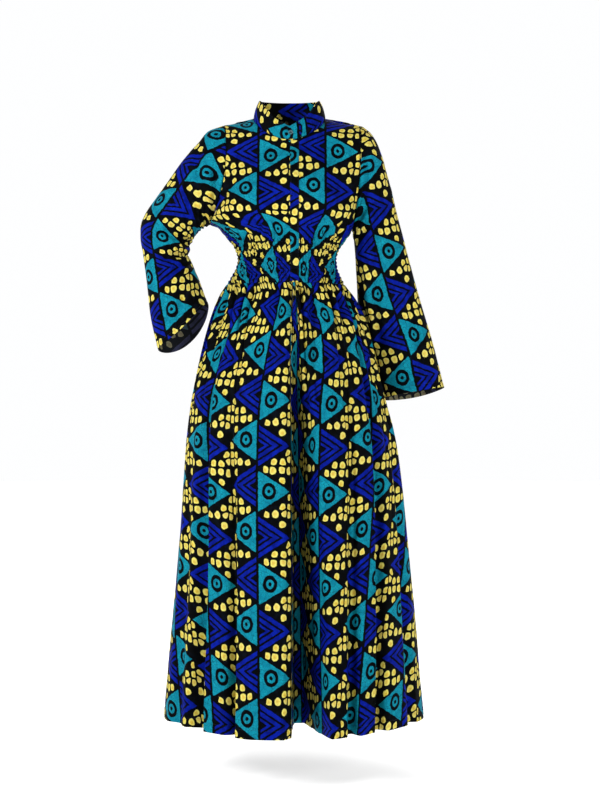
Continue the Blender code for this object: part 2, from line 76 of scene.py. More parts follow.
class Table:
    """Rows of numbers with named columns, read anywhere between rows on a smooth curve that never overshoots."""

    def __init__(self, columns, rows):
        self.names = columns.split()
        self.rows = np.array(rows, float)

    def at(self, name, key):
        x, y = self.rows[:, 0], self.rows[:, self.names.index(name)]
        if x[0] > x[-1]:
            x, y = x[::-1], y[::-1]
        key = min(max(key, x[0]), x[-1])
        i = min(max(int(np.searchsorted(x, key)) - 1, 0), len(x) - 2)
        h, d = np.diff(x), np.diff(y) / np.diff(x)

        def slope(k):
            if k == 0 or k == len(x) - 1:
                return d[0] if k == 0 else d[-1]
            if d[k - 1] * d[k] <= 0:
                return 0.0
            w1, w2 = 2 * h[k] + h[k - 1], h[k] + 2 * h[k - 1]
            return (w1 + w2) / (w1 / d[k - 1] + w2 / d[k])

        t = (key - x[i]) / h[i]
        return float(
            (2 * t**3 - 3 * t**2 + 1) * y[i]
            + (t**3 - 2 * t**2 + t) * h[i] * slope(i)
            + (3 * t**2 - 2 * t**3) * y[i + 1]
            + (t**3 - t**2) * h[i] * slope(i + 1)
        )


BODY = Table(
    "z left right front back",
    [
        [-0.0650, -0.150, 0.150, -0.084, 0.098],
        [-0.1200, -0.160, 0.150, -0.113, 0.106],
        [-0.1850, -0.175, 0.148, -0.136, 0.104],
        [-0.2300, -0.190, 0.145, -0.134, 0.097],
        [-0.2568, -0.1956, 0.1435, -0.127, 0.092],
        [-0.2616, -0.1800, 0.1425, -0.125, 0.091],
        [-0.2760, -0.1656, 0.1400, -0.119, 0.088],
        [-0.2904, -0.1536, 0.1290, -0.112, 0.084],
        [-0.3048, -0.1416, 0.1200, -0.106, 0.081],
        [-0.3192, -0.1344, 0.1110, -0.101, 0.079],
        [-0.3410, -0.1290, 0.1056, -0.096, 0.078],
        [-0.3624, -0.1340, 0.1080, -0.096, 0.081],
        [-0.3840, -0.1460, 0.1170, -0.099, 0.087],
        [-0.4010, -0.1560, 0.1250, -0.104, 0.092],
        [-0.4368, -0.1740, 0.1480, -0.118, 0.108],
        [-0.4944, -0.1920, 0.1720, -0.137, 0.130],
        [-0.5808, -0.2150, 0.1950, -0.156, 0.152],
        [-0.6960, -0.2390, 0.2240, -0.176, 0.172],
        [-0.7536, -0.2470, 0.2400, -0.184, 0.180],
        [-0.8688, -0.2570, 0.2590, -0.197, 0.191],
        [-1.0992, -0.2760, 0.2830, -0.219, 0.205],
        [-1.3296, -0.2975, 0.3050, -0.241, 0.217],
        [-1.4390, -0.3065, 0.3160, -0.250, 0.222],
    ],
)
NECK = Table(
    "angle seam top",
    [
        [0, -0.0650, -0.0325],
        [12, -0.0625, -0.0238],
        [28, -0.0535, -0.0108],
        [46, -0.0390, 0.0110],
        [60, -0.0265, 0.0280],
        [75, -0.0130, 0.0375],
        [90, -0.0035, 0.0410],
        [115, 0.0040, 0.0430],
        [145, 0.0095, 0.0450],
        [180, 0.0115, 0.0460],
    ],
)
SLEEVE = {
    "right": Table(
        "t inner_x inner_z outer_x outer_z y depth lean_x lean_z sag_x sag_z",
        [
            [0.000, -0.1956, -0.2568, -0.1630, -0.0178, 0.000, 0.062, 0.000, 0.000, 0.0200, 0.000],
            [0.060, -0.2090, -0.2600, -0.1992, -0.0312, 0.002, 0.060, 0.000, 0.000, 0.0060, 0.000],
            [0.130, -0.2180, -0.2650, -0.2232, -0.0600, 0.005, 0.058, 0.000, 0.000, 0.0000, 0.000],
            [0.200, -0.2260, -0.2720, -0.2616, -0.1032, 0.009, 0.057, 0.000, 0.000, 0.0000, 0.000],
            [0.280, -0.2330, -0.2790, -0.2928, -0.1464, 0.014, 0.056, 0.000, 0.000, 0.0000, 0.000],
            [0.360, -0.2395, -0.2870, -0.3250, -0.1910, 0.019, 0.055, 0.000, 0.000, 0.0000, 0.000],
            [0.430, -0.2440, -0.2960, -0.3520, -0.2300, 0.022, 0.055, 0.000, 0.000, 0.0000, 0.000],
            [0.490, -0.2480, -0.3070, -0.3650, -0.2620, 0.022, 0.056, 0.000, 0.000, 0.0000, -0.002],
            [0.550, -0.2510, -0.3190, -0.3664, -0.2900, 0.020, 0.057, 0.000, 0.000, 0.0000, -0.004],
            [0.620, -0.2510, -0.3310, -0.3616, -0.3220, 0.015, 0.058, 0.002, -0.001, 0.0010, -0.006],
            [0.700, -0.2430, -0.3450, -0.3552, -0.3620, 0.007, 0.058, 0.006, -0.003, 0.0030, -0.009],
            [0.800, -0.2300, -0.3690, -0.3456, -0.4180, -0.003, 0.057, 0.009, -0.006, 0.0040, -0.012],
            [0.900, -0.2180, -0.3920, -0.3345, -0.4820, -0.012, 0.056, 0.013, -0.009, 0.0055, -0.015],
            [1.000, -0.2060, -0.4160, -0.3160, -0.5610, -0.020, 0.055, 0.017, -0.012, 0.0070, -0.018],
        ],
    ),
    "left": Table(
        "t inner_x inner_z outer_x outer_z y depth lean_x lean_z sag_x sag_z",
        [
            [0.000, 0.1435, -0.2700, 0.1656, -0.0192, 0.000, 0.062, 0.000, 0.000, 0.0070, 0.000],
            [0.045, 0.1455, -0.2790, 0.1860, -0.0312, 0.001, 0.061, 0.000, 0.000, 0.0050, 0.000],
            [0.090, 0.1470, -0.2890, 0.2010, -0.0540, 0.002, 0.060, 0.000, 0.000, 0.0020, 0.000],
            [0.150, 0.1485, -0.3020, 0.2136, -0.0888, 0.003, 0.058, 0.000, 0.000, 0.0000, 0.000],
            [0.230, 0.1500, -0.3180, 0.2304, -0.1464, 0.004, 0.056, 0.000, 0.000, 0.0000, 0.000],
            [0.320, 0.1515, -0.3380, 0.2472, -0.2130, 0.006, 0.055, 0.000, 0.000, 0.0000, 0.000],
            [0.420, 0.1540, -0.3700, 0.2660, -0.2790, 0.016, 0.056, 0.000, 0.000, 0.0000, 0.000],
            [0.520, 0.1575, -0.4130, 0.2850, -0.3460, 0.026, 0.058, 0.000, 0.000, 0.0000, 0.000],
            [0.640, 0.1625, -0.4640, 0.3053, -0.4173, 0.040, 0.061, 0.000, 0.000, 0.0000, 0.000],
            [0.760, 0.1760, -0.5260, 0.3283, -0.4918, 0.055, 0.065, 0.000, -0.002, 0.0000, 0.000],
            [0.880, 0.1950, -0.5980, 0.3510, -0.5719, 0.064, 0.069, 0.000, -0.005, 0.0000, 0.000],
            [1.000, 0.2170, -0.6740, 0.3701, -0.6470, 0.070, 0.073, 0.000, -0.008, 0.0000, -0.004],
        ],
    ),
}
FRONT_FOLDS = Table(
    "hem_x top_deg out start_z",
    [
        [-0.3065, -90, 0.000, -0.45],
        [-0.2880, -79, 0.005, -0.62],
        [-0.2680, -73, -0.010, -0.70],
        [-0.2420, -66, 0.007, -0.60],
        [-0.2060, -57, -0.027, -0.48],
        [-0.1960, -53, 0.009, -0.52],
        [-0.1560, -45, 0.003, -0.60],
        [-0.1330, -37, -0.031, -0.45],
        [-0.1230, -33, 0.011, -0.45],
        [-0.0800, -22, 0.014, -0.55],
        [-0.0180, -6, 0.010, -0.50],
        [0.0010, 0.0, -0.012, -0.47],
        [0.0105, 1.2, -0.148, -0.47],
        [0.0430, 3.0, -0.150, -0.47],
        [0.0600, 4.6, -0.098, -0.47],
        [0.0740, 8.4, -0.046, -0.48],
        [0.0880, 15, 0.010, -0.52],
        [0.1260, 33, 0.004, -0.60],
        [0.1450, 41, -0.030, -0.45],
        [0.1550, 45, 0.006, -0.45],
        [0.1900, 54, 0.002, -0.60],
        [0.2060, 60, -0.026, -0.48],
        [0.2160, 64, 0.011, -0.48],
        [0.2560, 73, 0.008, -0.60],
        [0.2820, 79, -0.013, -0.55],
        [0.2910, 83, 0.003, -0.60],
        [0.3160, 90, 0.000, -0.45],
    ],
)
BACK_FOLDS = Table(
    "hem_x top_deg out start_z",
    [
        [-0.3065, -90, 0.000, -0.45],
        [-0.2860, -80, 0.006, -0.60],
        [-0.2640, -72, -0.018, -0.48],
        [-0.2500, -67, 0.010, -0.48],
        [-0.2160, -57, 0.006, -0.60],
        [-0.1900, -50, -0.034, -0.46],
        [-0.1740, -45, 0.012, -0.46],
        [-0.1240, -33, 0.008, -0.58],
        [-0.1010, -26, -0.042, -0.46],
        [-0.0840, -21, 0.013, -0.46],
        [-0.0340, -9, 0.008, -0.60],
        [-0.0100, -3, -0.048, -0.46],
        [0.0080, 3, 0.014, -0.46],
        [0.0600, 16, 0.010, -0.58],
        [0.0830, 22, -0.038, -0.46],
        [0.0990, 27, 0.012, -0.46],
        [0.1480, 38, 0.006, -0.60],
        [0.1700, 44, -0.032, -0.46],
        [0.1850, 49, 0.012, -0.46],
        [0.2250, 59, 0.005, -0.60],
        [0.2440, 65, -0.022, -0.48],
        [0.2570, 69, 0.009, -0.48],
        [0.2820, 78, -0.006, -0.60],
        [0.3160, 90, 0.000, -0.45],
    ],
)


def mix(a, b, t):
    return a + (b - a) * t


def eased(t):
    t = np.clip(t, 0.0, 1.0)
    return t * t * (3 - 2 * t)


def fullness(z):
    """How many times wider the flat cloth is than what it covers, at and above the waist."""
    z = np.asarray(z, float)
    rise = np.clip((z - WAIST_Z) / 0.105, 0, 1)
    return mix(WAIST_FULLNESS, 1.62, rise) + (1.0 - 1.62) * eased((z + 0.300) / 0.075)


def reach(side, z):
    return BODY.at("right" if side > 0 else "left", z)


def side_name(side):
    return "left" if side > 0 else "right"


def neck_ring(angle, width, front, back, z):
    a = math.radians(angle)
    deep = front if math.cos(a) > 0 else back
    return np.array([NECK_X + width * math.sin(a), -deep * math.cos(a), z])


def neck_seam(angle):
    return neck_ring(angle, NECK_WIDTH, NECK_FRONT, NECK_BACK, NECK.at("seam", abs(angle)))


def front_angle():
    return math.degrees(math.asin((FRONT_X - NECK_X) / NECK_WIDTH))


def sleeve_row(side, t, around):
    """Points round a sleeve at t; around is an array, 0 at the outer point and a quarter at the back."""
    table = SLEEVE[side_name(side)]
    v = {name: table.at(name, t) for name in table.names[1:]}
    inner = np.array([v["inner_x"], 0, v["inner_z"]])
    outer = np.array([v["outer_x"], 0, v["outer_z"]])
    a = 2 * math.pi * np.asarray(around, float)
    c, s = np.cos(a)[:, None], np.sin(a)[:, None]
    lean = np.array([v["lean_x"], v["depth"], v["lean_z"]])
    sag = np.array([v["sag_x"], 0, v["sag_z"]])
    middle = (inner + outer) / 2 + np.array([0, v["y"], 0])
    return middle + (outer - inner) / 2 * c + lean * s + sag * s * s


def bodice_inner(side, face, v):
    top = FRONT_NECK_V if face == "front" else BACK_NECK_V
    middle = front_angle() if face == "front" else 180.0 * side
    if v <= top:
        neck = neck_seam(middle)
        z = mix(WAIST_Z, neck[2], v / top)
        x = FRONT_X if face == "front" else neck[0]
        bottom = BODY.at(face, max(z, -9))
        y = mix(bottom, neck[1], float(eased((z + 0.105) / (neck[2] + 0.105)))) if z > -0.105 else bottom
        return np.array([x, y, z])
    return neck_seam(mix(middle, 90.0 * side, (v - top) / (1 - top)))


def bodice_outer(side, face, v):
    under = sleeve_row(side, 0, [0.5])[0]
    if v <= UNDERARM_V:
        z = mix(WAIST_Z, under[2], v / UNDERARM_V)
        return np.array([reach(side, z), 0.0, z])
    share = (v - UNDERARM_V) / (1 - UNDERARM_V)
    return sleeve_row(side, 0, [0.5 + 0.5 * share if face == "front" else 0.5 - 0.5 * share])[0]


def bodice_row(side, face, us, v):
    """A row of a half bodice at v; us runs from the middle to the side."""
    start, end = bodice_inner(side, face, v), bodice_outer(side, face, v)
    across = end - start
    up = float(eased((v - UNDERARM_V) / (1 - UNDERARM_V)))
    full = math.exp(-(((v - 0.50) / 0.16) ** 2)) if face == "front" else 0.35 * math.exp(-(((v - 0.62) / 0.2) ** 2))
    round_in = np.array([mix(0.552, 0.333, up) + 0.10 * full, mix(0.0, 0.333, up**2), mix(0.0, 0.333, up)])
    round_out = np.array([mix(0.0, 0.333, up), mix(0.552, 0.333, up) + 0.30 * full, mix(0.0, 0.333, up)])
    a, b = start + across * round_in, end - across * round_out
    u = np.asarray(us, float)[:, None]
    w = 1 - u
    return w**3 * start + 3 * w * w * u * a + 3 * w * u * u * b + u**3 * end


def skirt_row(face, places, z):
    """A row of the skirt at this height; places counts the fold lines."""
    folds = FRONT_FOLDS if face == "front" else BACK_FOLDS
    share = (WAIST_Z - z) / (WAIST_Z - HEM_Z)
    hem_x, top, out, start = folds.rows.T
    wide = np.where(hem_x > 0, abs(reach(1, HEM_Z)), abs(reach(-1, HEM_Z)))
    hem = np.degrees(np.arcsin(np.clip(hem_x / wide, -1, 1)))
    grown = np.clip((start - z) / (start - HEM_Z), 0.0, 1.0)
    angles, outs = mix(top, hem, share), out * grown**0.8
    k = np.minimum(places.astype(int), len(top) - 2)
    t = places - k
    angle = np.radians(mix(angles[k], angles[k + 1], t))
    out = mix(outs[k], outs[k + 1], eased(t))
    wide = np.where(angle > 0, abs(reach(1, z)), abs(reach(-1, z)))
    deep, toward = abs(BODY.at(face, z)), -1 if face == "front" else 1
    points = np.stack([wide * np.sin(angle), toward * deep * np.cos(angle), np.full_like(angle, z)], axis=1)
    normal = np.stack([deep * np.sin(angle), toward * wide * np.cos(angle), np.zeros_like(angle)], axis=1)
    return points + normal / np.linalg.norm(normal, axis=1)[:, None] * out[:, None]


def collar_row(angles, up, out=0.0):
    """Points of the collar at a share of its height; out is how far each stands off."""
    seam = np.array([neck_seam(a) for a in angles]) + np.array([0, 0, 0.0006])
    top = np.array([neck_ring(a, COLLAR_WIDTH, COLLAR_FRONT, COLLAR_BACK, NECK.at("top", abs(a))) for a in angles])
    up = np.broadcast_to(np.asarray(up, float), (len(angles),))[:, None]
    point = mix(seam, top, up)
    away = np.stack([point[:, 0] - NECK_X, point[:, 1], np.zeros(len(point))], axis=1)
    away /= np.linalg.norm(away, axis=1)[:, None]
    bow = 0.003 * np.sin(math.pi * up)
    return point + away * (bow + np.broadcast_to(np.asarray(out, float), (len(angles),))[:, None])


# ---------------------------------------------------------------- cloth as grids of points
def smooth_noise(x, y, seed):
    """Smooth noise from -1 to 1, the same each run; x and y are arrays, and it changes over a distance of 1."""
    lattice = np.random.default_rng(seed).uniform(-1, 1, (128, 128))
    x, y = np.asarray(x, float) + 500.0, np.asarray(y, float) + 500.0
    i, j = np.floor(x).astype(int), np.floor(y).astype(int)
    fx, fy = x - i, y - j
    fx, fy = fx * fx * fx * (fx * (fx * 6 - 15) + 10), fy * fy * fy * (fy * (fy * 6 - 15) + 10)
    i, j = i % 128, j % 128
    i1, j1 = (i + 1) % 128, (j + 1) % 128
    a = lattice[i, j] * (1 - fx) + lattice[i1, j] * fx
    b = lattice[i, j1] * (1 - fx) + lattice[i1, j1] * fx
    return a * (1 - fy) + b * fy


def lengths(points, axis):
    """How far along the grid each point is, from 0 at the first one."""
    step = np.linalg.norm(np.diff(points, axis=axis), axis=2)
    total = np.cumsum(step, axis=axis)
    pad = [(0, 0), (0, 0)]
    pad[axis] = (1, 0)
    return np.pad(total, pad)


def grid_normals(points, away_from):
    """Unit normals of a grid, pointing away from a point, or from a row of points, one for each grid row."""
    across, down = np.gradient(points, axis=1), np.gradient(points, axis=0)
    n = np.cross(across, down)
    n /= np.maximum(np.linalg.norm(n, axis=2), 1e-12)[..., None]
    centre = np.asarray(away_from, float)
    if centre.ndim == 2:
        centre = centre[:, None, :]
    sign = np.sum(np.sum(n * (points - centre), axis=2))
    return n if sign > 0 else -n


def groove(distance, depth, width):
    return -depth * np.exp(-((distance / width) ** 2))


def with_lips(points, normals, uv, edges, depth=0.006):
    """Turns the cloth inwards at its sewn edges, as a seam allowance does, so that no light shows through a seam."""
    for edge in edges:
        axis = 0 if edge in ("first_row", "last_row") else 1
        at = 0 if edge in ("first_row", "first_column") else -1
        take = (lambda g: g[at]) if axis == 0 else (lambda g: g[:, at])
        p, n, t = take(points), take(normals), take(uv)
        rows = []
        for k, inward in enumerate((0.0012, depth)):
            rows.append((p - n * inward, n, t + np.array([0.0, (k + 1) * 0.002 * (-1 if at == 0 else 1)]) if axis == 0 else t))
        if at == 0:
            rows = rows[::-1]
        stack = [np.stack([r[k] for r in rows], axis=axis) for k in range(3)]
        grids = []
        for grid, extra in zip((points, normals, uv), stack):
            pair = (extra, grid) if at == 0 else (grid, extra)
            grids.append(np.concatenate(pair, axis=axis))
        points, normals, uv = grids
    return points, normals, uv


def print_steps(real, plain, over):
    """Steps of print along rows of cloth: longer where the cloth runs steeply, and even over this many steps."""
    share = np.clip(real / np.maximum(plain, 1e-7), 0.3, 4.0)
    window = np.ones(over) / over
    even = np.apply_along_axis(lambda r: np.convolve(np.pad(r, over // 2, mode="edge"), window, mode="valid"), 1, share)
    return plain * mix(1.0, share / even, 0.9)


cloth_objects = []


def make_cloth(name, points, uv, away_from, materials, thickness=CLOTH, normals=None, flip=False):
    """A mesh from a grid of points, with its place on the flat cloth as UVs in metres, made a wall inwards."""
    rows, columns = points.shape[:2]
    mesh = bpy.data.meshes.new(name)
    index = np.arange(rows * columns).reshape(rows, columns)
    a, b, c, d = index[:-1, :-1], index[:-1, 1:], index[1:, 1:], index[1:, :-1]
    faces = np.stack([a, b, c, d], axis=-1).reshape(-1, 4)
    flat = points.reshape(-1, 3)
    # The faces are wound so that they look away from the inside.
    e1, e2 = flat[faces[:, 1]] - flat[faces[:, 0]], flat[faces[:, 3]] - flat[faces[:, 0]]
    n = np.cross(e1, e2)
    if normals is None:
        centre = np.asarray(away_from, float)
        mid = flat[faces].mean(axis=1)
        sign = np.sum(n * (mid - centre))
    else:
        sign = np.sum(n * normals.reshape(-1, 3)[faces[:, 0]])
    if sign < 0:
        faces = faces[:, ::-1]
    mesh.vertices.add(len(flat))
    mesh.vertices.foreach_set("co", flat.ravel())
    mesh.loops.add(faces.size)
    mesh.loops.foreach_set("vertex_index", faces.ravel())
    mesh.polygons.add(len(faces))
    mesh.polygons.foreach_set("loop_start", np.arange(0, faces.size, 4))
    mesh.update(calc_edges=True)
    layer = mesh.uv_layers.new(name="cloth")
    layer.data.foreach_set("uv", uv.reshape(-1, 2)[faces.ravel()].ravel())
    for m in materials:
        mesh.materials.append(m)
    mesh.shade_smooth()
    mesh.validate()
    obj = bpy.data.objects.new(name, mesh)
    bpy.context.scene.collection.objects.link(obj)
    wall = obj.modifiers.new("wall", "SOLIDIFY")
    wall.thickness, wall.offset = thickness, -1.0
    wall.use_even_offset = False
    wall.material_offset = 1 if len(materials) > 1 else 0
    wall.material_offset_rim = 0
    depsgraph = bpy.context.evaluated_depsgraph_get()
    made = bpy.data.meshes.new_from_object(obj.evaluated_get(depsgraph))
    obj.modifiers.clear()
    obj.data = made
    made.name = name
    bpy.data.meshes.remove(mesh)
    cloth_objects.append(obj)
    return obj


# ---------------------------------------------------------------- materials
class Nodes:
    """Short names for building node trees of plain arithmetic."""

    def __init__(self, tree):
        self.tree = tree
        self.x = 0

    def new(self, kind, **settings):
        node = self.tree.nodes.new(kind)
        node.location = (self.x, 0)
        self.x += 160
        for key, value in settings.items():
            setattr(node, key, value)
        return node

    def set(self, socket, value):
        if hasattr(value, "is_output"):
            self.tree.links.new(value, socket)
        else:
            socket.default_value = value

    def math(self, operation, *values, clamp=False):
        node = self.new("ShaderNodeMath", operation=operation, use_clamp=clamp)
        for socket, value in zip(node.inputs, values):
            self.set(socket, value)
        return node.outputs[0]

    def add(self, a, b):
        return self.math("ADD", a, b)

    def sub(self, a, b):
        return self.math("SUBTRACT", a, b)

    def mul(self, a, b):
        return self.math("MULTIPLY", a, b)

    def step(self, value, low, high):
        """0 below low and 1 above high, smooth between."""
        node = self.new("ShaderNodeMapRange", interpolation_type="SMOOTHSTEP", clamp=True)
        self.set(node.inputs["Value"], value)
        self.set(node.inputs["From Min"], low)
        self.set(node.inputs["From Max"], high)
        return node.outputs["Result"]

    def colour(self, factor, a, b):
        node = self.new("ShaderNodeMix", data_type="RGBA")
        self.set(node.inputs["Factor"], factor)
        self.set(node.inputs["A"], a)
        self.set(node.inputs["B"], b)
        return node.outputs["Result"]

    def combine(self, x, y, z=0.0):
        node = self.new("ShaderNodeCombineXYZ")
        for socket, value in zip(node.inputs, (x, y, z)):
            self.set(socket, value)
        return node.outputs[0]

    def noise(self, vector, scale, detail=2.0, roughness=0.5, dimensions="3D"):
        node = self.new("ShaderNodeTexNoise", noise_dimensions=dimensions)
        self.set(node.inputs["Vector"], vector)
        node.inputs["Scale"].default_value = scale
        node.inputs["Detail"].default_value = detail
        node.inputs["Roughness"].default_value = roughness
        return node.outputs["Fac"]

    def voronoi(self, vector, scale, feature="F1", randomness=1.0):
        node = self.new("ShaderNodeTexVoronoi", feature=feature, voronoi_dimensions="2D")
        self.set(node.inputs["Vector"], vector)
        node.inputs["Scale"].default_value = scale
        node.inputs["Randomness"].default_value = randomness
        return node


def print_group():
    """The printed design, from a place on the flat cloth in metres.

    Upright strips, each of wedges that point to one side, and every other strip points the other way. In turn down a
    strip come a teal wedge with a round target, a black one with yellow pebbles, a blue one of three nested
    chevrons, and pebbles again.
    """
    group = bpy.data.node_groups.new("wax_print", "ShaderNodeTree")
    group.interface.new_socket("Cloth", in_out="INPUT", socket_type="NodeSocketVector")
    group.interface.new_socket("Colour", in_out="OUTPUT", socket_type="NodeSocketColor")
    group.interface.new_socket("Dye", in_out="OUTPUT", socket_type="NodeSocketFloat")
    k = Nodes(group)
    cloth = k.new("NodeGroupInput").outputs["Cloth"]
    # Hand-cut edges: the place wanders a little before anything is looked up.
    wander = k.new("ShaderNodeTexNoise", noise_dimensions="2D")
    k.set(wander.inputs["Vector"], cloth)
    wander.inputs["Scale"].default_value = 95.0
    wander.inputs["Detail"].default_value = 3.0
    moved = k.new("ShaderNodeVectorMath", operation="MULTIPLY_ADD")
    k.set(moved.inputs[0], wander.outputs["Color"])
    moved.inputs[1].default_value = (0.0034, 0.0034, 0.0)
    k.set(moved.inputs[2], cloth)
    parts = k.new("ShaderNodeSeparateXYZ")
    k.set(parts.inputs[0], moved.outputs[0])
    s, t = parts.outputs["X"], parts.outputs["Y"]
    strip = k.math("FLOOR", k.math("DIVIDE", s, STRIP))
    x = k.sub(k.math("DIVIDE", s, STRIP), strip)
    odd = k.math("FLOORED_MODULO", strip, 2.0)
    # x runs from a wedge's tip side (0) to its base side (1), whichever way the strip points.
    x = k.math("ABSOLUTE", k.sub(odd, x))
    y = k.add(k.math("DIVIDE", t, REPEAT), k.mul(odd, 0.5))
    y = k.add(y, k.mul(k.math("FRACT", k.mul(strip, 0.381)), 0.16))

    def from_middle(centre):
        """How far y is from a wedge's middle line, in metres."""
        f = k.math("FRACT", k.add(k.sub(y, centre), 0.5))
        return k.mul(k.math("ABSOLUTE", k.sub(f, 0.5)), REPEAT)

    slope = 0.25 * REPEAT / STRIP
    lean = 1.0 / math.sqrt(1 + slope * slope)
    xm = k.mul(x, STRIP)
    to_base = k.sub(STRIP, xm)

    def inside(centre):
        """How far inside a wedge's two long sides the place is."""
        return k.mul(k.sub(k.mul(xm, slope), from_middle(centre)), lean)

    def round_min(a, b, soft):
        node = k.new("ShaderNodeMath", operation="SMOOTH_MIN")
        for socket, value in zip(node.inputs, (a, b, soft)):
            k.set(socket, value)
        return node.outputs[0]

    edge = 0.0005
    teal_in, blue_in = inside(0.25), inside(0.75)
    teal = k.step(round_min(teal_in, to_base, 0.006), 0.0026, 0.0026 + edge)
    # The round target: a broad dark ring, and a dark dot in its middle.
    dx, dy = k.sub(xm, STRIP * 0.655), k.mul(from_middle(0.25), 0.86)
    radius = k.math("SQRT", k.add(k.mul(dx, dx), k.mul(dy, dy)))
    ring = k.mul(k.step(radius, 0.0092, 0.0092 + edge), k.sub(1.0, k.step(radius, 0.0166, 0.0166 + edge)))
    dot = k.sub(1.0, k.step(radius, 0.0036, 0.0036 + edge))
    teal = k.mul(teal, k.sub(1.0, k.math("MAXIMUM", ring, dot)))

    def band(low, high):
        return k.mul(k.step(blue_in, low, low + edge), k.sub(1.0, k.step(blue_in, high, high + edge)))

    blue = k.math("MAXIMUM", band(0.0026, 0.0118), band(0.0166, 0.0246))
    blue = k.math("MAXIMUM", blue, band(0.0294, 0.0345))
    blue = k.mul(blue, k.step(to_base, 0.0028, 0.0028 + edge))

    # The pebbles fill the wedges between, whose base is where the others have their tip. A cell whose middle lies
    # too near a wedge's side gets none, and the rest are rounded and keep clear of each other and of the sides.
    yb = k.math("FRACT", k.sub(y, 0.25))
    place = k.combine(k.math("DIVIDE", xm, 0.0180), k.math("DIVIDE", k.mul(yb, REPEAT), 0.0215))
    cell = k.voronoi(place, 1.0, randomness=0.58)
    border = k.voronoi(place, 1.0, "DISTANCE_TO_EDGE", 0.58).outputs["Distance"]
    centre = k.new("ShaderNodeSeparateXYZ")
    k.set(centre.inputs[0], cell.outputs["Position"])
    cx, cy = k.mul(centre.outputs["X"], 0.0180), k.mul(centre.outputs["Y"], 0.0215)
    away = k.math("FRACT", k.add(k.math("DIVIDE", k.sub(cy, REPEAT * 0.25), REPEAT * 0.5), 0.5))
    away = k.mul(k.math("ABSOLUTE", k.sub(away, 0.5)), REPEAT * 0.5)
    room = k.mul(k.sub(k.mul(k.sub(STRIP, cx), slope), away), lean)
    look = k.new("ShaderNodeSeparateColor")
    k.set(look.inputs[0], cell.outputs["Color"])
    size = k.add(0.375, k.mul(look.outputs["Red"], 0.090))
    apart = k.sub(k.mul(border, 0.0196), 0.0026)
    rounded = k.mul(k.sub(size, cell.outputs["Distance"]), 0.0200)
    to_side = k.sub(k.sub(0.0, k.math("MAXIMUM", teal_in, blue_in)), 0.0026)
    inner = round_min(to_side, k.sub(k.math("MINIMUM", xm, to_base), 0.0024), 0.004)
    pebble = k.step(round_min(round_min(apart, rounded, 0.009), inner, 0.005), -0.0012, -0.0006)
    room = k.math("MINIMUM", room, k.math("MINIMUM", cx, k.sub(STRIP, cx)))
    pebble = k.mul(pebble, k.math("GREATER_THAN", room, 0.0026))

    # Colours, with the fine veins and clouding that wax leaves.
    cloud = k.noise(cloth, 55.0, 4.0, 0.6, "2D")
    fine = k.noise(cloth, 620.0, 3.0, 0.65, "2D")
    bent = k.new("ShaderNodeVectorMath", operation="MULTIPLY_ADD")
    k.set(bent.inputs[0], wander.outputs["Color"])
    bent.inputs[1].default_value = (0.010, 0.010, 0.0)
    k.set(bent.inputs[2], cloth)
    veins = k.voronoi(bent.outputs[0], 150.0, "DISTANCE_TO_EDGE").outputs["Distance"]
    wide_veins = k.voronoi(bent.outputs[0], 62.0, "DISTANCE_TO_EDGE").outputs["Distance"]
    veins = k.mul(k.sub(1.0, k.step(veins, 0.015, 0.085)), k.step(cloud, 0.44, 0.60))
    wide_veins = k.sub(1.0, k.step(wide_veins, 0.008, 0.045))
    specks = k.step(fine, 0.60, 0.72)
    crackle = k.math("MAXIMUM", k.math("MAXIMUM", veins, k.mul(wide_veins, 0.75)), k.mul(specks, 0.65))

    teal_colour = k.colour(k.step(cloud, 0.3, 0.7), (0.0022, 0.165, 0.250, 1), (0.0050, 0.275, 0.370, 1))
    teal_colour = k.colour(k.mul(crackle, 0.80), teal_colour, (0.002, 0.030, 0.050, 1))
    blue_colour = k.colour(k.step(cloud, 0.3, 0.7), (0.0008, 0.0060, 0.165, 1), (0.0014, 0.0125, 0.330, 1))
    blue_colour = k.colour(k.mul(crackle, 0.42), blue_colour, (0.001, 0.004, 0.070, 1))
    heart = k.step(cell.outputs["Distance"], 0.06, 0.34)
    yellow_colour = k.colour(heart, (0.600, 0.400, 0.035, 1), (0.700, 0.630, 0.125, 1))
    yellow_colour = k.colour(k.mul(look.outputs["Green"], 0.35), yellow_colour, (0.720, 0.640, 0.230, 1))
    yellow_colour = k.colour(k.mul(crackle, 0.34), yellow_colour, (0.200, 0.130, 0.025, 1))
    ground = k.colour(k.step(cloud, 0.45, 0.75), (0.0008, 0.0011, 0.0014, 1), (0.0018, 0.0034, 0.0068, 1))
    colour = k.colour(blue, ground, blue_colour)
    colour = k.colour(teal, colour, teal_colour)
    colour = k.colour(pebble, colour, yellow_colour)
    out = k.new("NodeGroupOutput")
    k.set(out.inputs["Colour"], colour)
    k.set(out.inputs["Dye"], k.math("MAXIMUM", k.math("MAXIMUM", blue, teal), pebble))
    return group


def weave(k, cloth):
    """A plain weave's height: threads over and under each other, 0.42 mm apart, with slubs."""
    parts = k.new("ShaderNodeSeparateXYZ")
    k.set(parts.inputs[0], cloth)
    across = k.math("SINE", k.mul(parts.outputs["X"], 2 * math.pi / 0.00042))
    down = k.math("SINE", k.mul(parts.outputs["Y"], 2 * math.pi / 0.00042))
    slubs = k.noise(k.combine(k.mul(parts.outputs["X"], 0.15), parts.outputs["Y"]), 2400.0, 2.0, 0.6, "2D")
    return k.add(k.mul(across, down), k.mul(slubs, 1.2))


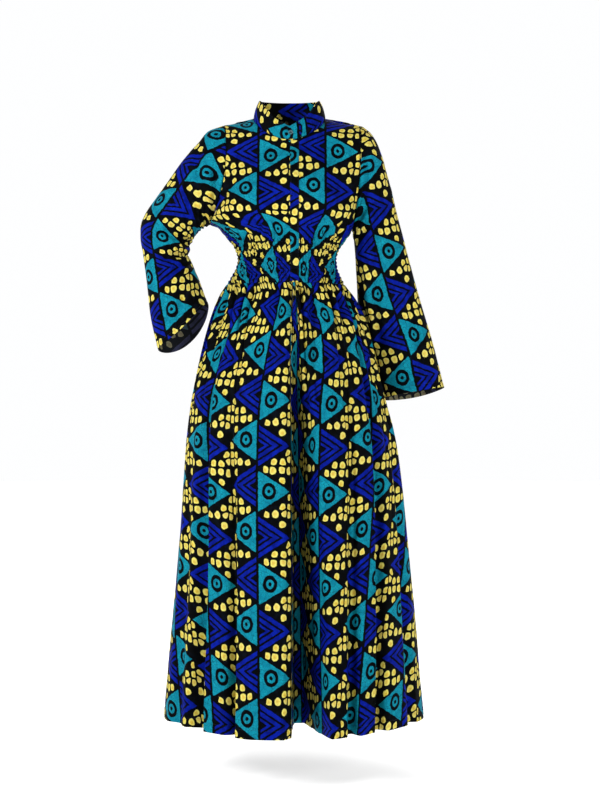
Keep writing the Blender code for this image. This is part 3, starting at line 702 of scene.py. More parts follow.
def cloth_material(name, group, wrong=False):
    made = bpy.data.materials.new(name)
    made.use_nodes = True
    tree = made.node_tree
    shader = tree.nodes["Principled BSDF"]
    k = Nodes(tree)
    uv = k.new("ShaderNodeUVMap", uv_map="cloth").outputs["UV"]
    design = k.new("ShaderNodeGroup")
    design.node_tree = group
    k.set(design.inputs["Cloth"], uv)
    colour = design.outputs["Colour"]
    if wrong:
        # The dye shows through to the wrong side, greyer and duller.
        bled = k.noise(uv, 900.0, 2.0, 0.6, "2D")
        grey = k.new("ShaderNodeHueSaturation")
        grey.inputs["Saturation"].default_value = 0.60
        grey.inputs["Value"].default_value = 0.42
        k.set(grey.inputs["Color"], colour)
        colour = k.colour(k.add(0.22, k.mul(bled, 0.22)), grey.outputs[0], (0.030, 0.034, 0.042, 1))
    else:
        # Painted sheen, with wear: the colour is made a little lighter and darker at random, thread by thread, as a
        # painted sheen where threads catch the light, and as paler cloth where it is rubbed.
        threads = k.noise(uv, 1500.0, 2.0, 0.7, "2D")
        light = k.new("ShaderNodeHueSaturation")
        k.set(light.inputs["Value"], k.add(0.88, k.mul(threads, 0.24)))
        k.set(light.inputs["Color"], colour)
        colour = light.outputs[0]
    k.set(shader.inputs["Base Color"], colour)
    rough = k.add(0.60, k.mul(k.noise(uv, 140.0, 2.0, 0.5, "2D"), 0.18))
    k.set(shader.inputs["Roughness"], k.sub(rough, k.mul(design.outputs["Dye"], 0.05)))
    shader.inputs["Specular IOR Level"].default_value = 0.03
    shader.inputs["Sheen Weight"].default_value = 0.001
    shader.inputs["Sheen Roughness"].default_value = 0.5
    # Weave, and the small crumples of a pressed cotton.
    small = k.new("ShaderNodeBump")
    small.inputs["Strength"].default_value = 0.35
    small.inputs["Distance"].default_value = 0.00008
    k.set(small.inputs["Height"], weave(k, uv))
    crumple = k.new("ShaderNodeBump")
    crumple.inputs["Strength"].default_value = 0.5
    crumple.inputs["Distance"].default_value = 0.0012
    k.set(crumple.inputs["Height"], k.noise(uv, 62.0, 3.0, 0.45, "2D"))
    k.set(crumple.inputs["Normal"], small.outputs[0])
    k.set(shader.inputs["Normal"], crumple.outputs[0])
    return made


def thread_material():
    made = bpy.data.materials.new("dark_thread")
    made.use_nodes = True
    shader = made.node_tree.nodes["Principled BSDF"]
    k = Nodes(made.node_tree)
    place = k.new("ShaderNodeTexCoord").outputs["Object"]
    twist = k.new("ShaderNodeTexWave", wave_type="BANDS", bands_direction="DIAGONAL")
    k.set(twist.inputs["Vector"], place)
    twist.inputs["Scale"].default_value = 900.0
    # Painted highlight: the thread is lighter on the raised bands of its twist, the same bands that make its bump.
    k.set(shader.inputs["Base Color"], k.colour(twist.outputs["Fac"], (0.006, 0.007, 0.014, 1), (0.020, 0.024, 0.050, 1)))
    shader.inputs["Roughness"].default_value = 0.55
    bump = k.new("ShaderNodeBump")
    bump.inputs["Distance"].default_value = 0.0001
    k.set(bump.inputs["Height"], twist.outputs["Fac"])
    k.set(shader.inputs["Normal"], bump.outputs[0])
    return made


def shell_material():
    made = bpy.data.materials.new("dark_shell")
    made.use_nodes = True
    shader = made.node_tree.nodes["Principled BSDF"]
    k = Nodes(made.node_tree)
    place = k.new("ShaderNodeTexCoord").outputs["Object"]
    cloud = k.noise(place, 420.0, 4.0, 0.55)
    pearl = k.noise(place, 160.0, 2.0, 0.5)
    dark = k.colour(k.step(cloud, 0.35, 0.65), (0.012, 0.050, 0.062, 1), (0.030, 0.115, 0.135, 1))
    k.set(shader.inputs["Base Color"], k.colour(k.step(pearl, 0.55, 0.75), dark, (0.090, 0.190, 0.210, 1)))
    k.set(shader.inputs["Roughness"], k.add(0.20, k.mul(cloud, 0.14)))
    shader.inputs["Coat Weight"].default_value = 0.5
    shader.inputs["Coat Roughness"].default_value = 0.12
    return made


wax_print = print_group()
RIGHT_SIDE = cloth_material("printed_cotton", wax_print)
WRONG_SIDE = cloth_material("printed_cotton_wrong_side", wax_print, wrong=True)
THREAD = thread_material()
SHELL = shell_material()


# ---------------------------------------------------------------- stitches
stitch_runs = {}


def stitch(run, points, normals, pitch=0.0030, length=0.0021, radius=0.00028, lift=0.00012):
    """Stitches along a line on the cloth, gathered by run and made into one mesh each at the end."""
    along = np.concatenate([[0], np.cumsum(np.linalg.norm(np.diff(points, axis=0), axis=1))])
    starts = np.arange(pitch * 0.5, along[-1] - length, pitch)
    if not len(starts):
        return

    def at(values, place):
        return np.stack([np.interp(place, along, values[:, i]) for i in range(3)], axis=1)

    a, b = at(points, starts), at(points, starts + length)
    n = at(normals, starts + length / 2)
    n /= np.linalg.norm(n, axis=1)[:, None]
    d = b - a
    d /= np.maximum(np.linalg.norm(d, axis=1), 1e-9)[:, None]
    side = np.cross(d, n)
    side /= np.maximum(np.linalg.norm(side, axis=1), 1e-9)[:, None]
    stitch_runs.setdefault(run, []).append((a, b, n, side, radius, lift))


def make_stitches(run):
    """Each stitch is a short thread that dips into the cloth at both ends."""
    vertices, faces = [], []
    ring = [(math.cos(math.pi / 4 + k * math.pi / 2), math.sin(math.pi / 4 + k * math.pi / 2)) for k in range(4)]
    offset = 0
    for a, b, n, side, radius, lift in stitch_runs[run]:
        count = len(a)
        layers = [(0.0, -1.6, 0.0), (0.16, 0.35, 0.9), (0.84, 0.35, 0.9), (1.0, -1.6, 0.0)]
        block = np.zeros((count, 10, 3))
        for place, up, wide in layers:
            mid = a + (b - a) * place + n * (radius * up + lift)
            if wide == 0.0:
                block[:, 0 if place == 0 else 9] = mid
            else:
                base = 1 if place < 0.5 else 5
                for q, (cx, cy) in enumerate(ring):
                    block[:, base + q] = mid + side * (cx * radius * wide) + n * (cy * radius * wide)
        tris = []
        for q in range(4):
            r = (q + 1) % 4
            tris += [(0, 1 + r, 1 + q), (1 + q, 1 + r, 5 + r), (1 + q, 5 + r, 5 + q), (9, 5 + q, 5 + r)]
        tris = np.array(tris)
        vertices.append(block.reshape(-1, 3))
        faces.append((tris[None] + (np.arange(count) * 10)[:, None, None] + offset).reshape(-1, 3))
        offset += count * 10
    vertices, faces = np.concatenate(vertices), np.concatenate(faces)
    mesh = bpy.data.meshes.new(run)
    mesh.vertices.add(len(vertices))
    mesh.vertices.foreach_set("co", vertices.ravel())
    mesh.loops.add(faces.size)
    mesh.loops.foreach_set("vertex_index", faces.ravel())
    mesh.polygons.add(len(faces))
    mesh.polygons.foreach_set("loop_start", np.arange(0, faces.size, 3))
    mesh.update(calc_edges=True)
    mesh.validate()
    bm = bmesh.new()
    bm.from_mesh(mesh)
    bmesh.ops.recalc_face_normals(bm, faces=bm.faces)
    bm.to_mesh(mesh)
    bm.free()
    mesh.materials.append(THREAD)
    mesh.shade_smooth()
    obj = bpy.data.objects.new(run, mesh)
    bpy.context.scene.collection.objects.link(obj)
    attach(obj, "root")
    return obj


# ---------------------------------------------------------------- the skirt
def cells_along(q, count, rng, spread):
    """Uneven cells along q from 0 to 1: which cell each place is in, and how far through it."""
    widths = rng.uniform(1 - spread, 1 + spread, count)
    edges = np.concatenate([[0], np.cumsum(widths)]) / widths.sum()
    k = np.clip(np.searchsorted(edges, np.clip(q, 0, 0.99999), side="right") - 1, 0, count - 1)
    return k, (q - edges[k]) / (edges[k + 1] - edges[k])


def shared(values, k, f):
    """A value for each cell, which meets its neighbours halfway at the cell's edges."""
    left, right = values[np.maximum(k - 1, 0)], values[np.minimum(k + 1, len(values) - 1)]
    return np.where(
        f < 0.5,
        mix((left + values[k]) / 2, values[k], eased(2 * f)),
        mix(values[k], (right + values[k]) / 2, eased(2 * f - 1)),
    )


def gathers(q, h, count, seed):
    """How far the cloth stands out in gathers; q runs across the panel, and h is how far below the waist it is.

    Small ones leave the seam close together, and run into larger ones, which fade down the skirt at their own rate.
    """
    rng = np.random.default_rng(seed)
    wandering = q + 0.006 * smooth_noise(q * 9.0, h * 9.0, seed + 9) * eased(h / 0.04)
    k, f = cells_along(wandering, count, rng, 0.42)
    depth = shared(rng.uniform(0.0170, 0.0300, count), k, f)
    far = shared(rng.uniform(0.090, 0.400, count), k, f)
    ridge = np.abs(np.sin(math.pi * f)) ** 0.50
    large = depth * (ridge - mix(0.92, 0.80, eased(h / 0.1))) * np.exp(-((h / far) ** 1.3)) * mix(0.16, 1.0, eased(h / 0.026))
    k, f = cells_along(q, count * 3, rng, 0.35)
    depth = shared(rng.uniform(0.0026, 0.0046, count * 3), k, f)
    far = shared(rng.uniform(0.012, 0.040, count * 3), k, f)
    ridge = np.abs(np.sin(math.pi * f)) ** 0.75
    small = depth * (ridge - 0.55) * np.exp(-((h / far) ** 1.3)) * mix(0.5, 1.0, eased(h / 0.006))
    return large + small


def make_skirt(face, columns, count, seed):
    folds = FRONT_FOLDS if face == "front" else BACK_FOLDS
    last = len(folds.rows) - 1
    fine = np.linspace(0, last, 4000)
    hem = skirt_row(face, fine, HEM_Z)
    along = np.concatenate([[0], np.cumsum(np.linalg.norm(np.diff(hem, axis=0), axis=1))])
    places = np.interp(np.linspace(0, along[-1], columns), along, fine)
    # Rows lie close together below the waist, where the gathers are, and at the hem's stitching.
    zs, z = [WAIST_Z - 0.0006], WAIST_Z - 0.0006
    while z > HEM_Z:
        h = WAIST_Z - z
        z -= 0.0035 if h < 0.10 else (0.0060 if h < 0.30 else 0.0125)
        if z < HEM_Z + 0.036:
            z += 0.0100
        zs.append(max(z, HEM_Z))
    zs = np.array(zs)
    base = np.stack([skirt_row(face, places, z) for z in zs])
    if face == "front":
        # The deep fold draws in sooner below the waist than its solid, and its bottom lies deeper.
        grown = np.clip((-0.47 - zs) / (-0.47 - HEM_Z), 0, 1)
        sooner = (grown**0.5 - grown**0.8) * eased((grown - 0.10) / 0.15)
        k = np.minimum(places.astype(int), last - 1)
        lines = np.arange(last + 1)
        fold = np.where((lines >= 12) & (lines <= 15), -folds.rows[:, 2], 0.0)
        bottom = np.where((lines == 12) | (lines == 13), 0.034, np.where(lines == 14, 0.022, np.where(lines == 15, 0.012, 0.0)))
        fold, bottom = (mix(v[k], v[k + 1], eased(places - k)) for v in (fold, bottom))
        base[:, :, 1] += sooner[:, None] * fold[None, :] + (grown**0.8)[:, None] * bottom[None, :]
    normals = grid_normals(base, np.array([[0, 0, z] for z in zs]))
    q = np.linspace(0, 1, columns)[None, :]
    h = (WAIST_Z - zs)[:, None]
    down = lengths(base, 0)
    # The print is drawn together by the gathers below the waist, and lies at its full size further down.
    arc = lengths(base, 1)
    if face == "front":
        # The deep fold between these fold lines takes the same cloth all the way down.
        left_lip, right_lip = np.argmin(np.abs(places - 11)), np.argmin(np.abs(places - 14))
        arc = arc - arc[:, left_lip:left_lip + 1]
        arc = arc - np.clip(arc, 0, arc[:, right_lip:right_lip + 1])
        middle = np.interp(FRONT_X, base[0, :, 0], arc[0])
        pleat = PLEAT_CLOTH * np.clip((np.arange(columns) - left_lip) / (right_lip - left_lip), 0, 1)
    else:
        centre = int(np.argmin(np.abs(base[-1, :, 0] - NECK_X)))
        arc = arc - arc[:, centre:centre + 1]
        middle = np.interp(NECK_X, base[0, :, 0], arc[0])
        pleat = np.zeros(columns)
    near_waist = np.exp(-((h / 0.150) ** 1.6))
    s = (arc - middle * near_waist) * (1.02 + (WAIST_FULLNESS - 1.02) * near_waist) + pleat[None, :]
    out = gathers(np.broadcast_to(q, down.shape), np.broadcast_to(h, down.shape), count, seed)
    # Longer soft folds under the gathers, slow waves down the cloth, and a hem that isn't quite even.
    long = smooth_noise(q * 23.0, h * 1.1, seed + 1) * 0.0058 * eased(h / 0.08) * (1 - 0.55 * eased((h - 0.5) / 0.5))
    slow = smooth_noise(q * 9.0, h * 2.6, seed + 2) * 0.0030 * eased(h / 0.15)
    small = smooth_noise(q * 46.0, h * 5.0, seed + 3) * 0.0011 * eased(h / 0.05)
    sides = eased(np.minimum(q, 1 - q) / 0.02)
    out = (out + long + slow + small) * sides
    # The hem: turned up 20 mm and stitched, so it is pulled in at the stitches and puckers a little.
    up = (zs - HEM_Z)[:, None]
    hem_pucker = smooth_noise(s / 0.010, up * 0, seed + 4) * 0.0005 * np.exp(-(((up - 0.020) / 0.010) ** 2))
    out = out + groove(up - 0.020, 0.0007, 0.0022) + 0.0004 * eased((0.019 - up) / 0.002) + hem_pucker
    # The side seams: drawn in, with small puckers.
    from_side = np.minimum(s - s[:, :1], s[:, -1:] - s)
    seam = groove(from_side, 0.0010, 0.0030) + smooth_noise(h / 0.017, 0 * h, seed + 5) * 0.0009 * np.exp(-from_side / 0.012) * (1 - np.exp(-from_side / 0.003))
    points = base + normals * (out + seam)[..., None]
    # The hem rises a little towards the sides.
    points[:, :, 2] += 0.010 * eased((np.abs(points[:, :, 0] - FRONT_X) - 0.10) / 0.16) * eased(h / 1.04)
    # Half of the seam's gap, at both sides.
    inwards = 1 if face == "front" else -1
    points[:, 0, 1] -= inwards * GAP
    points[:, -1, 1] -= inwards * GAP
    # The print lies on the cloth as it really runs in and out of the folds.
    real, plain = np.diff(lengths(points, 1), axis=1), np.diff(lengths(base, 1), axis=1)
    print_step = np.diff(s, axis=1) * print_steps(real, plain, 13) / plain
    s = s[:, :1] + np.pad(np.cumsum(print_step, axis=1), [(0, 0), (1, 0)])
    uv = np.stack([s, -down], axis=2)
    lip_p, lip_n, lip_uv = with_lips(points, normals, uv, ("first_row", "first_column", "last_column"))
    obj = make_cloth(f"skirt_{face}_cloth", lip_p, lip_uv, None, [RIGHT_SIDE, WRONG_SIDE], normals=lip_n)
    turn_up(obj, HEM_Z + 0.0195)
    n_now = grid_normals(points, np.array([[0, 0, z] for z in zs]))
    row = int(np.argmin(np.abs(zs - (HEM_Z + 0.020))))
    stitch("hem_stitches", points[row], n_now[row])
    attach(obj, "root")
    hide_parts(f"skirt_{face}")
    return points, zs


def turn_up(obj, below):
    """Inside the turned-up hem the printed side shows, so those faces take the right side's finish."""
    mesh = obj.data
    if len(mesh.materials) < 2:
        return
    centres = np.zeros(len(mesh.polygons) * 3)
    mesh.polygons.foreach_get("center", centres)
    slots = np.zeros(len(mesh.polygons), dtype=np.int32)
    mesh.polygons.foreach_get("material_index", slots)
    low = centres.reshape(-1, 3)[:, 2] < below
    slots[low] = 0
    mesh.polygons.foreach_set("material_index", slots)
    mesh.update()


# ---------------------------------------------------------------- the bodice
def shirring(z, s, seed, strength=1.0):
    """The elasticated band: level rows of elastic thread that draw the cloth into small upright gathers."""
    pitch = 0.0092
    low, high = -0.3985, -0.3015
    band = eased((z - low + 0.004) / 0.006) * (1 - eased((z - high) / 0.006))
    row = (z - low) / pitch
    between = 0.5 - 0.5 * np.cos(2 * math.pi * row)
    whole = np.floor(row)
    f = eased(row - whole)
    wander = mix(smooth_noise(s / 0.011, whole * 7.3, seed), smooth_noise(s / 0.011, (whole + 1) * 7.3, seed), f)
    slow = smooth_noise(s / 0.035, row * 0.12, seed + 1)
    phase = s / 0.0076 + 0.36 * wander + 1.1 * slow
    strong = 0.80 + 0.35 * mix(smooth_noise(s / 0.009, whole * 3.1, seed + 2), smooth_noise(s / 0.009, (whole + 1) * 3.1, seed + 2), f)
    ripple = np.abs(np.sin(math.pi * phase)) ** 0.85 - 0.5
    out = band * (0.0060 * strong * (ripple - 0.12) * (0.52 + 0.48 * between) + 0.0012 * (between - 0.7))
    # Above the band the gathers open out into soft folds, and fade into the fullness.
    above = eased((z - high) / 0.010) * (1 - eased((z - high - 0.012) / 0.062))
    broad = np.abs(np.sin(math.pi * (s / 0.0215 + 0.9 * slow + 0.5 * smooth_noise(s / 0.03, z / 0.05, seed + 4)))) ** 0.8 - 0.5
    fine = np.abs(np.sin(math.pi * phase)) ** 0.85 - 0.5
    fading = (1 - eased((z - high) / 0.026)) * eased((z - high) / 0.004)
    out = out + above * 0.0040 * broad + fading * 0.0030 * fine * (1 - band)
    return out * strength


def bodice_levels():
    vs, v = [0.0], 0.0
    while v < 1.0:
        v += 0.0036 if v < 0.262 else (0.0066 if v < 0.34 else 0.0105)
        vs.append(min(v, 1.0))
    return np.array(vs)


bodice_grids = {}


def bodice_half(side, face, columns, seed):
    """One half of the bodice: its points, normals, place on the cloth, and how much fuller the flat cloth is than what
    it covers.
    """
    vs = bodice_levels()
    us = np.linspace(0, 1, columns)
    us = mix(us, eased(us), 0.15)
    base = np.stack([bodice_row(side, face, us, v) for v in vs])
    centre = np.stack([np.full(len(vs), 0.02 * side), np.zeros(len(vs)), base[:, 0, 2] * 0.85 - 0.03], axis=1)
    normals = grid_normals(base, centre)
    arc = lengths(base, 1)
    z = base[..., 2]
    # On the flat cloth a row begins at the middle, or further out where it begins at the neck.
    begin = np.abs(base[:, 0, 0] - (FRONT_X if face == "front" else NECK_X))[:, None]
    fuller = fullness(z)
    s = (begin + arc * fuller) * side
    rise = lengths(base, 0)
    level, climb = z[:, columns // 2], rise[:, columns // 2]
    t = np.interp(z, level, climb) + np.maximum(z - level[-1], 0)
    return vs, us, base, normals, arc, s, t, z, begin, fuller


def seam_softening(points, at_start, at_end, at_bottom, at_top, seed):
    """How the cloth is drawn in along its sewn edges, with small puckers beside them."""
    across, down = lengths(points, 1), lengths(points, 0)
    out = np.zeros(points.shape[:2])
    for on, distance, along, k in (
        (at_start, across, down, 0),
        (at_end, across[:, -1:] - across, down, 1),
        (at_bottom, down, across, 2),
        (at_top, down[-1:] - down, across, 3),
    ):
        if on:
            pucker = smooth_noise(along / 0.013, 0 * along, seed + k) * 0.0009
            out += groove(distance, 0.0009, 0.0026) + pucker * np.exp(-distance / 0.010) * (1 - np.exp(-distance / 0.003))
    return out


def crease(points, facing, line, depth, width, side=-1, ends=0.25):
    """A soft trough along a line of places in the front view, on the cloth that faces front (side -1) or back (1)."""
    line = np.asarray(line, float)
    p = points[..., [0, 2]]
    best = np.full(points.shape[:2], 1e9)
    place = np.zeros(points.shape[:2])
    steps = np.linalg.norm(np.diff(line, axis=0), axis=1)
    total, done = steps.sum(), 0.0
    for a, b, length in zip(line[:-1], line[1:], steps):
        t = np.clip(((p - a) @ (b - a)) / (length * length), 0, 1)
        d = np.linalg.norm(p - (a + t[..., None] * (b - a)), axis=2)
        closer = d < best
        best = np.where(closer, d, best)
        place = np.where(closer, (done + t * length) / total, place)
        done += length
    taper = eased(np.minimum(place, 1 - place) / ends + 0.12)
    seen = eased((facing * side + 0.05) / 0.25)
    x = best / width
    # A trough with a low ridge on each side of it.
    return depth * taper * seen * (-np.exp(-x * x) + 0.38 * np.exp(-((x - 1.7) ** 2)))


def from_photo(places, y):
    """Places given in the 600 by 800 picture, on the plane at this depth, as x and z in metres."""
    k = (3.86 + y) / 1608.33
    return [(0.0192 + (px - 300) * k, -0.6768 + (400 - py) * k) for px, py in places]


BODICE_CREASES = {
    # Each crease: face, line of places in the picture, depth and width in metres.
    -1: [
        ("front", [(228, 196), (238, 205), (252, 212)], 0.0022, 0.0065),
        ("front", [(226, 212), (236, 222), (247, 236)], 0.0024, 0.0060),
        ("front", [(229, 150), (231, 172), (230, 190)], 0.0018, 0.0070),
        ("front", [(262, 218), (260, 232), (258, 243)], 0.0016, 0.0050),
        ("front", [(276, 214), (275, 230), (274, 242)], 0.0014, 0.0045),
        ("back", [(228, 180), (240, 196), (256, 206)], 0.0026, 0.0080),
        ("back", [(226, 208), (238, 220), (252, 228)], 0.0022, 0.0070),
    ],
    1: [
        ("front", [(357, 190), (346, 202), (330, 208)], 0.0022, 0.0065),
        ("front", [(354, 212), (344, 222), (334, 236)], 0.0022, 0.0060),
        ("front", [(356, 148), (353, 168), (352, 186)], 0.0018, 0.0070),
        ("front", [(322, 216), (324, 230), (326, 242)], 0.0016, 0.0050),
        ("front", [(308, 218), (309, 232), (309, 243)], 0.0014, 0.0045),
        ("back", [(356, 184), (340, 198), (326, 206)], 0.0026, 0.0080),
        ("back", [(352, 210), (338, 220), (322, 230)], 0.0022, 0.0070),
    ],
}


def bodice_surface(side, face, columns, seed):
    vs, us, base, normals, arc, s, t, z, begin, fuller = bodice_half(side, face, columns, seed)
    # The strip over the opening, and its backing, hold the cloth flat beside the middle of the front.
    free = eased((arc - 0.010) / 0.006) if face == "front" else np.ones_like(arc)
    edge = eased((arc[:, -1:] - arc) / 0.006)
    seam_end = mix(0.35, 1.0, eased((z - base[0, :, 2][None, :]) / 0.005))
    out = shirring(z, (begin + arc) * side, seed) * free * edge * seam_end
    quiet = eased((z + 0.26) / 0.05) * edge * free
    out += smooth_noise(s / 0.060, t / 0.110, seed + 11) * 0.0024 * quiet
    out += smooth_noise(s / 0.022, t / 0.060, seed + 12) * 0.0009 * quiet
    facing = normals[..., 1]
    for where, line, depth, width in BODICE_CREASES[side]:
        if where == face:
            y = -0.10 if face == "front" else 0.08
            out += 1.6 * crease(base, facing, from_photo(line, y), depth, width, -1 if face == "front" else 1) * edge * free
    out += seam_softening(base, False, True, True, True, seed + 20)
    if face == "front":
        # The neck seam runs along the panel's first column above the placket.
        above = (vs > FRONT_NECK_V)[:, None]
        out += groove(arc, 0.0007, 0.0026) * above
    else:
        above = (vs > BACK_NECK_V)[:, None]
        out += groove(arc, 0.0007, 0.0026) * above
    points = base + normals * out[..., None]
    # Seams: each edge is drawn back by half a gap.
    step = points[:, -2] - points[:, -1]
    points[:, -1] += step / np.linalg.norm(step, axis=1)[:, None] * GAP
    # The print's upright lines stay upright: across, only what runs level counts, and along every small gather.
    level = np.linalg.norm(np.diff(points[..., :2], axis=1), axis=2)
    plain = np.linalg.norm(np.diff(base[..., :2], axis=1), axis=2)
    steps = print_steps(level, plain, 21) * ((fuller[:, 1:] + fuller[:, :-1]) / 2)
    s = (begin + np.pad(np.cumsum(steps, axis=1), [(0, 0), (1, 0)])) * side
    # No two rows of elastic gather the cloth alike.
    gathered = eased((z + 0.404) / 0.008) * (1 - eased((z + 0.298) / 0.010)) * free * edge
    s = s + gathered * (0.0034 * smooth_noise(arc / 0.0065, z / 0.0046, seed + 31) + 0.0040 * smooth_noise(arc / 0.020, z / 0.0120, seed + 32))
    # On the wearer's left the print goes on where it left off in the skirt's deep fold.
    uv = np.stack([s + (PLEAT_CLOTH if side > 0 and face == "front" else 0.0), t], axis=2)
    return vs, us, base, points, normals, s, t, uv, arc


def make_bodice():
    columns = 168
    for side in (-1, 1):
        vs, us, base, points, normals, s, t, uv, arc = bodice_surface(side, "front", columns, 40 + side)
        bodice_grids[side] = (vs, base, points, normals, s, t)
        points[:, 0, 0] += side * GAP * (vs <= FRONT_NECK_V)
        p, n, w = with_lips(points, normals, uv, ("first_row", "last_row", "first_column", "last_column"), 0.005)
        name = side_name(side)
        obj = make_cloth(f"bodice_front_{name}_cloth", p, w, None, [RIGHT_SIDE, WRONG_SIDE], normals=n)
        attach(obj, "root")
        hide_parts(f"bodice_front_{name}")
        elastic_stitches(points, grid_normals(points, (0.02 * side, 0, -0.2)), vs, 0.012)
    halves = {}
    for side in (-1, 1):
        vs, us, base, points, normals, s, t, uv, arc = bodice_surface(side, "back", 130, 60)
        halves[side] = (points, normals, uv)
        elastic_stitches(points, grid_normals(points, (0.02 * side, 0, -0.2)), vs, 0.0)
    # Below the neck the two halves share the middle of the back; above it they part round the neck.
    vs = bodice_levels()
    low = int(np.searchsorted(vs, BACK_NECK_V))
    shared = (halves[-1][0][:, 0] + halves[1][0][:, 0]) / 2
    for side in (-1, 1):
        halves[side][0][:low, 0] = shared[:low]
    meshes = []
    for side in (-1, 1):
        points, normals, uv = halves[side]
        p, n, w = with_lips(points, normals, uv, ("first_row", "last_row", "last_column"), 0.005)
        meshes.append(make_cloth(f"back_half_{side_name(side)}", p, w, None, [RIGHT_SIDE, WRONG_SIDE], normals=n))
    return meshes, [halves[side][2] for side in (-1, 1)]


def elastic_stitches(points, normals, vs, start):
    """A row of stitches along each thread of elastic."""
    z = points[:, points.shape[1] // 2, 2]
    arc = lengths(points, 1)
    level = -0.3985
    while level < -0.3010:
        line, line_n = [], []
        for j in range(points.shape[1]):
            column = points[:, j, 2]
            i = int(np.argmin(np.abs(column[:120] - level)))
            if arc[i, j] < start or arc[i, -1] - arc[i, j] < 0.002:
                continue
            line.append(points[i, j])
            line_n.append(normals[i, j])
        if len(line) > 4:
            stitch("elastic_stitches", np.array(line), np.array(line_n), pitch=0.0027, length=0.0019, radius=0.00020, lift=0.0001)
        level += 0.0092


def make_back(made):
    """Both halves of the back become one piece."""
    (one, other), places = made
    meshes = (one, other)
    bm = bmesh.new()
    bm.from_mesh(one.data)
    bm.from_mesh(other.data)
    bmesh.ops.remove_doubles(bm, verts=bm.verts, dist=0.00002)
    mesh = bpy.data.meshes.new("bodice_back_cloth")
    bm.to_mesh(mesh)
    bm.free()
    for m in (RIGHT_SIDE, WRONG_SIDE):
        mesh.materials.append(m)
    for obj in meshes:
        cloth_objects.remove(obj)
        bpy.data.objects.remove(obj)
    obj = bpy.data.objects.new("bodice_back_cloth", mesh)
    bpy.context.scene.collection.objects.link(obj)
    mesh.shade_smooth()
    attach(obj, "root")
    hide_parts("bodice_back")
    cloth_objects.append(obj)
    return obj


def make_placket():
    """The strip over the opening, from the panels' own points, moved out."""
    half = PLACKET_WIDTH / 2
    offsets = np.linspace(-half, half, 19)
    rows, row_normals = [], []
    vs = bodice_grids[1][0]
    keep = [i for i, v in enumerate(vs) if 0.004 < v < FRONT_NECK_V - 0.003]
    for i in keep:
        row, row_n = [], []
        for o in offsets:
            side = 1 if o >= 0 else -1
            _, base, points, normals, _, _ = bodice_grids[side]
            arc = np.concatenate([[0], np.cumsum(np.linalg.norm(np.diff(base[i], axis=0), axis=1))])
            row.append([np.interp(abs(o), arc, base[i, :, c]) for c in range(3)])
            row_n.append([np.interp(abs(o), arc, normals[i, :, c]) for c in range(3)])
        rows.append(row)
        row_normals.append(row_n)
    base, normals = np.array(rows), np.array(row_normals)
    normals /= np.linalg.norm(normals, axis=2)[..., None]
    z = base[..., 2]
    t = lengths(base, 0)
    s = np.broadcast_to(offsets[None, :], z.shape)
    edge = half - np.abs(s)
    # A folded strip: rounded edges, a line of stitches near each, and small ripples where the waist is drawn in.
    out = 0.0016 - 0.0009 * np.exp(-edge / 0.0007) + groove(edge - 0.0022, 0.0004, 0.0008)
    drawn = 1 - eased((z + 0.300) / 0.012)
    out = out + drawn * 0.0006 * np.sin(2 * math.pi * z / 0.0092) + smooth_noise(t / 0.02, s / 0.02, 91) * 0.0004
    out = out + smooth_noise(t / 0.007, s * 0 + np.sign(s), 92) * 0.0003 * np.exp(-edge / 0.004)
    points = base + normals * out[..., None]
    uv = np.stack([s + STRIP * 1.46, t * 1.0 + 0.046], axis=2)
    p, n, w = with_lips(points, normals, uv, ("first_column", "last_column", "first_row", "last_row"), 0.0022)
    p[0] += 0
    obj = make_cloth("placket_cloth", p, w, None, [RIGHT_SIDE], thickness=0.0007, normals=n)
    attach(obj, "root")
    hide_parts("placket")
    for edge_at in (2, 16):
        stitch("placket_stitches", points[:, edge_at], normals[:, edge_at])
    return obj


# ---------------------------------------------------------------- the collar and its button
def collar_lap(angles):
    return eased((angles + 26.0) / 26.0) * (WALL + 0.0012)


